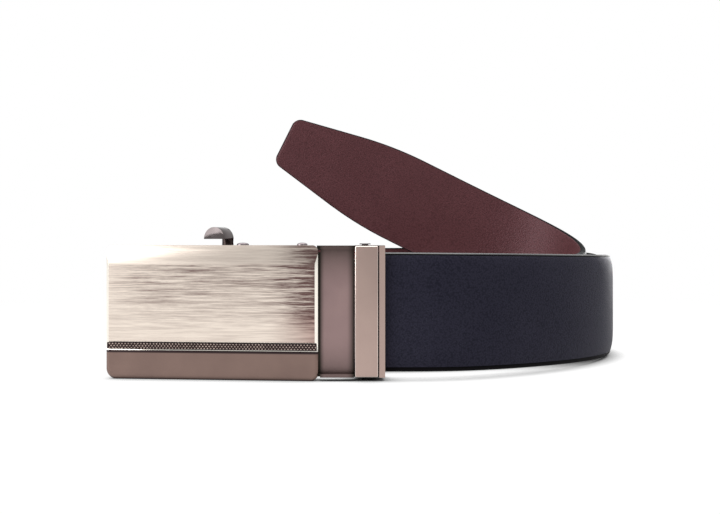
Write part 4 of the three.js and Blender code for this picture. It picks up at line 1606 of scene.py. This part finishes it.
    def cage(self) -> Solid:
        """Builds the frame: two side walls, the entry bar and the bar behind the hinge."""
        front = self.back + self.gap
        back = self.shaft_depth + self.shaft_radius + self.gap + self.frame_wall / 2
        left = self.left + self.frame_inset
        slope = back - self.hinge_depth
        wall = [(left, front), (self.frame_nose, front), (self.frame_nose, self.frame_nose),
                (self.frame_nose - slope, back), (left + self.bar_thickness, back),
                (left, back - self.bar_thickness)]
        bar_back = back - self.bar_thickness / 2
        low, high = self.frame_low + self.frame_wall / 2, self.frame_top - self.frame_wall / 2
        starts = (left + self.bar_thickness, self.pawl_reach + self.bar_width - self.shaft_from_hinge)
        bars = [Solid.block(start, start + self.bar_width, bar_back - self.bar_thickness, bar_back,
                            low, high) for start in starts]
        whole = Solid.slab(wall, self.frame_low, self.frame_low + self.frame_wall)
        whole = whole.joined(Solid.slab(wall, self.frame_top - self.frame_wall, self.frame_top), *bars)
        holes = [(0, 0, self.hinge_radius), (-self.guide_from_hinge, self.guide_offset, self.guide_radius),
                 (-self.shaft_from_hinge, self.shaft_depth, self.shaft_radius)]
        return whole.cut(*[Solid.rod(x, y, radius + self.gap, 0, self.frame_top + 1)
                           for x, y, radius in holes])

    def pin(self, x: float, y: float, radius: float, head: float) -> Solid:
        """Builds a pin whose low domed head lies on the frame's upper wall.

        Args:
            x: its place across.
            y: its place in depth.
            radius: the shank's radius.
            head: the head's radius.

        Returns:
            The pin.
        """
        foot = self.frame_top + self.gap
        spring = foot + self.head_height - self.pin_dome
        dome = [(head * math.cos(angle), spring + self.pin_dome * math.sin(angle))
                for angle in (math.pi / 2 * step / 8 for step in range(8))]
        return Solid.lathe(x, y, [
            (radius - self.pin_chamfer, self.frame_low), (radius, self.frame_low + self.pin_chamfer),
            (radius, foot), (head - 0.1, foot), (head, foot + 0.1), *dome])

    def knob(self) -> Solid:
        """Builds the shaft, its collar and the half round knob above the plate."""
        bottom = self.height + self.knob_lift
        half = [(self.knob_radius * math.cos(math.pi * step / 40),
                 self.knob_radius * math.sin(math.pi * step / 40)) for step in range(41)]
        knob = Solid.slab(half, 0, self.knob_thickness)
        knob.moved(Matrix.Rotation(math.pi / 2, 4, "X"))
        knob.moved(Matrix.Translation((-self.knob_across, self.knob_thickness / 2 - self.knob_along, 0)))
        knob.moved(Matrix.Rotation(-math.radians(self.knob_turn), 4, "Z"))
        knob.moved(Matrix.Translation((-self.shaft_from_hinge, self.shaft_depth, bottom)))
        shaft = Solid.rod(-self.shaft_from_hinge, self.shaft_depth, self.shaft_radius, self.frame_low,
                          self.frame_top + 2 * self.gap)
        collar = Solid.rod(-self.shaft_from_hinge, self.shaft_depth, self.collar_radius,
                           self.frame_top + self.gap, bottom + 2 * self.gap)
        return shaft.joined(collar, knob).softened(self.knob_soft, steps=4, degrees=50.0)

    def pawl(self) -> Solid:
        """Builds the pawl: a hub on the shaft and an arm with a biting edge."""
        bottom, top = (self.height - self.pawl_width) / 2, (self.height + self.pawl_width) / 2
        bore = self.shaft_radius + self.gap
        hub_front = self.shaft_depth - self.pawl_hub
        x = -self.shaft_from_hinge
        end = x + self.pawl_reach
        arm = Solid.slab([
            (x, self.shaft_depth + bore), (x, hub_front), (end - self.pawl_hub, hub_front),
            (end, hub_front - self.pawl_tooth), (end, self.shaft_depth - bore / 2)], bottom, top)
        whole = Solid.rod(x, self.shaft_depth, self.pawl_hub, bottom, top).joined(arm)
        return whole.cut(Solid.rod(x, self.shaft_depth, bore, bottom - 1, top + 1))

    def build(self, place: Matrix, brushed: bpy.types.Material, polished: bpy.types.Material,
              lower: bpy.types.Material, satin: bpy.types.Material, knurled: bpy.types.Material,
              steel: bpy.types.Material, dark: bpy.types.Material) -> None:
        """Shows the buckle's pieces and those of the lever.

        Args:
            place: where the buckle's own axes are in the scene.
            brushed: the plate's brushed face.
            polished: its worn edges and the lip under the strip.
            lower: its band at the foot.
            satin: the frame's plating.
            knurled: the strip's plating.
            steel: the rivets' metal.
            dark: the plating of the lever and the pawl.
        """
        plate = self.zoned(self.plate())
        hinge = self.pin(0, 0, self.hinge_radius, self.hinge_head)
        guide = self.pin(-self.guide_from_hinge, self.guide_offset, self.guide_radius, self.guide_head)
        cage, pawl = self.cage().softened(self.cage_soft), self.pawl().softened(self.pawl_soft)
        show("plate", plate.finished(place, brushed, polished, lower), "buckle",
             ("face_plate",))
        show("knurl", self.knurl(place, knurled), "buckle", ("knurl_strip",))
        show("cage", cage.finished(place, satin), "buckle", ("buckle_frame",))
        show("hinge_rivet", hinge.finished(place, steel), "strap", ("hinge_pin",))
        show("guide_rivet", guide.finished(place, steel), "buckle", ("guide_pin",))
        show("lever", self.knob().finished(place, dark), "lever", ("release_lever",))
        show("catch", pawl.finished(place, dark), "lever", ("pawl",))


class SoftBox(NamedTuple):
    """A soft light: its name, its place and size in metres, and its power in watts."""

    name: str
    spot: tuple[float, float, float]
    size: tuple[float, float]
    power: float


@dataclass
class Studio:
    """A pale floor, soft lights and the camera at the photograph's angle."""

    eye: Vector = field(default_factory=lambda: Vector((0.0, -0.3, 0.0422)))
    lens: float = 51.45
    horizon_shift: float = -0.0292
    floor_size: float = 6.0
    front_fill: float = 0.6
    back_fill: float = 1.0
    aim_height: float = 0.03
    lights: Sequence[SoftBox] = (
        SoftBox("left_front", (-0.6, -0.7, 0.5), (0.32, 0.3), 0.7),
        SoftBox("left", (-0.78, -0.4, 0.3), (0.6, 0.5), 4.0),
        SoftBox("right_back", (0.52, 0.85, 0.12), (0.2, 0.2), 2.4),
        SoftBox("top", (0.0, 0.05, 0.95), (1.2, 1.0), 9.0))

    def light(self, box: SoftBox) -> None:
        """Hangs one soft box and aims it at the belt.

        Args:
            box: the light.
        """
        data = bpy.data.lights.new(box.name, "AREA")
        data.shape = "RECTANGLE"
        data.size, data.size_y = box.size
        data.energy = box.power
        lamp = bpy.data.objects.new(box.name, data)
        spot = Vector(box.spot)
        lamp.location = spot
        lamp.rotation_euler = (Vector((0, 0, self.aim_height)) - spot).to_track_quat("-Z", "Y").to_euler()
        bpy.context.scene.collection.objects.link(lamp)

    def world(self) -> None:
        """Makes the studio white to the eye, with a dim front and a bright back as a light."""
        world = bpy.data.worlds.new("studio_white")
        world.use_nodes = True
        tree = world.node_tree
        tree.nodes.clear()
        way = add_node(tree, "ShaderNodeSeparateXYZ", {
            "Vector": add_node(tree, "ShaderNodeTexCoord").outputs["Generated"]})
        lit = add_node(tree, "ShaderNodeMapRange", {
            "Value": way.outputs["Y"], "From Min": -0.4, "From Max": 0.7, "To Min": self.front_fill,
            "To Max": self.back_fill}, interpolation_type="SMOOTHSTEP")
        path = add_node(tree, "ShaderNodeLightPath")
        seen = add_node(tree, "ShaderNodeMapRange", {
            "Value": path.outputs["Is Camera Ray"], "To Min": lit.outputs["Result"], "To Max": 1.0})
        sky = add_node(tree, "ShaderNodeBackground", {
            "Color": (1, 1, 1, 1), "Strength": seen.outputs["Result"]})
        add_node(tree, "ShaderNodeOutputWorld", {"Surface": sky.outputs["Background"]})
        bpy.context.scene.world = world

    def camera(self, shift: Vector) -> None:
        """Puts the camera in front of the belt, a little above its top.

        Args:
            shift: where the belt's own axes are in the scene.
        """
        data = bpy.data.cameras.new("camera")
        data.lens = self.lens
        data.sensor_width = 36.0
        data.shift_y = self.horizon_shift
        data.clip_start = 0.01
        camera = bpy.data.objects.new("camera", data)
        camera.location = Vector((shift.x, shift.y, 0)) + self.eye
        camera.rotation_euler = (math.pi / 2, 0, 0)
        bpy.context.scene.collection.objects.link(camera)
        bpy.context.scene.camera = camera

    def floor(self) -> None:
        """Lays the floor."""
        half = self.floor_size / 2
        form = bmesh.new()
        corners = [form.verts.new((x, y, 0)) for x, y in
                   ((-half, -half), (half, -half), (half, half), (-half, half))]
        form.faces.new(corners)
        mesh = bpy.data.meshes.new("floor")
        form.to_mesh(mesh)
        form.free()
        mesh.materials.append(PaleCard().build())
        link_object("floor", mesh)

    def build(self, shift: Vector) -> None:
        """Sets up the whole studio.

        Args:
            shift: where the belt's own axes are in the scene.
        """
        self.camera(shift)
        self.world()
        self.floor()
        for box in self.lights:
            self.light(box)
        bpy.context.scene.view_settings.view_transform = "Standard"


def main() -> None:
    """Builds the belt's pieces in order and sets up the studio."""
    logging.basicConfig(level=logging.INFO, format="%(name)s: %(message)s")
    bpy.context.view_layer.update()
    clamp = NeckClamp()
    low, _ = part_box("clamp_band")
    shift = Vector((low[0] - clamp.band_left * MM, low[1] - (clamp.front - clamp.gap) * MM, 0.0))
    place = Matrix.Translation(shift)
    hinge = shift + Vector((clamp.hinge_x, clamp.hinge_y, 0)) * MM
    buckle = Buckle()
    swung = Matrix.Translation(hinge) @ Matrix.Rotation(-math.radians(buckle.turn), 4, "Z")
    Studio().build(shift)

    navy = GrainedLeather("navy_cow_leather", "#282733", "#1d1d27", "#3b3a46", "#b9b4c4",
                          relief_mm=0.06, roughness=0.52, gloss=0.07)
    brown = GrainedLeather("brown_lining_leather", "#4f2b2e", "#402123", "#6a4245", "#d8b9c0",
                           relief_mm=0.07, roughness=0.4, gloss=0.5)
    burnished = EdgePaint("burnished_edge_paint", "#0b0a0d", 0.2, 0.9, fade=(-40.0, 5.0))
    matt = EdgePaint("matt_edge_paint", "#060507")
    web_left, web_right = clamp.left, clamp.band_left - clamp.gap
    # Painted shade: the neck's plating darkens at both ends of the web, where the plate and the band shade
    # it, and towards its top and foot between the flanges
    shaded_neck_plating = PlatedMetal(
        "mauve_plating_painted_shade", "#a18886", "#998180", 0.36, darkening="#2e2b25", start=tuple(shift),
        limits=(("X", web_left + 1.3, web_left - 0.2), ("X", web_right - 2.2, web_right),
                ("Z", clamp.top - 13.0, clamp.top + 2.0), ("Z", clamp.lift + 12.0, clamp.lift - 5.0)))
    taupe = PlatedMetal("satin_taupe_plating", "#8a756e", "#806b64", 0.34)
    # A painted shadow along the top of the band, under the lip, and darker towards the foot
    lower = PlatedMetal("satin_taupe_face", "#877169", "#7f6a63", 0.34, darkening="#3a2f30",
                        limits=(("Z", 7.6, 7.95), ("Z", 0.9, 0.1)))
    mauve = PlatedMetal("satin_mauve_plating", "#b8a198", "#b39c94", 0.36)
    rubbed = PlatedMetal("rubbed_mauve_edge", "#e2d2ca", "#d5c4bc", 0.24)
    steel = PlatedMetal("domed_rivet_steel", "#8f8587", "#6b6164", 0.2, relief_mm=0.002)
    dark = PlatedMetal("polished_gunmetal", "#676060", "#3f3a39", 0.1, relief_mm=0.002)
    bright = PlatedMetal("polished_champagne_plating", "#fffaf0", "#f8f0e4", 0.16, relief_mm=0.002)
    knurled = KnurledPlating(-buckle.turn, tuple(hinge))
    brushed = BrushedNickel(-buckle.turn, tuple(hinge))

    gunmetal = dark.build()
    strap = Strap()
    strap.build(place, navy.build(), burnished.build(), brown.build(), matt.build())
    RatchetTrack().build(place, strap, MouldedNylon().build())
    clamp.build(place, shaded_neck_plating.build(), mauve.build(), rubbed.build(), gunmetal)
    buckle.build(swung, brushed.build(), bright.build(), lower.build(), taupe.build(),
                 knurled.build(), steel.build(), gunmetal)


if __name__ == "__main__":
    main()
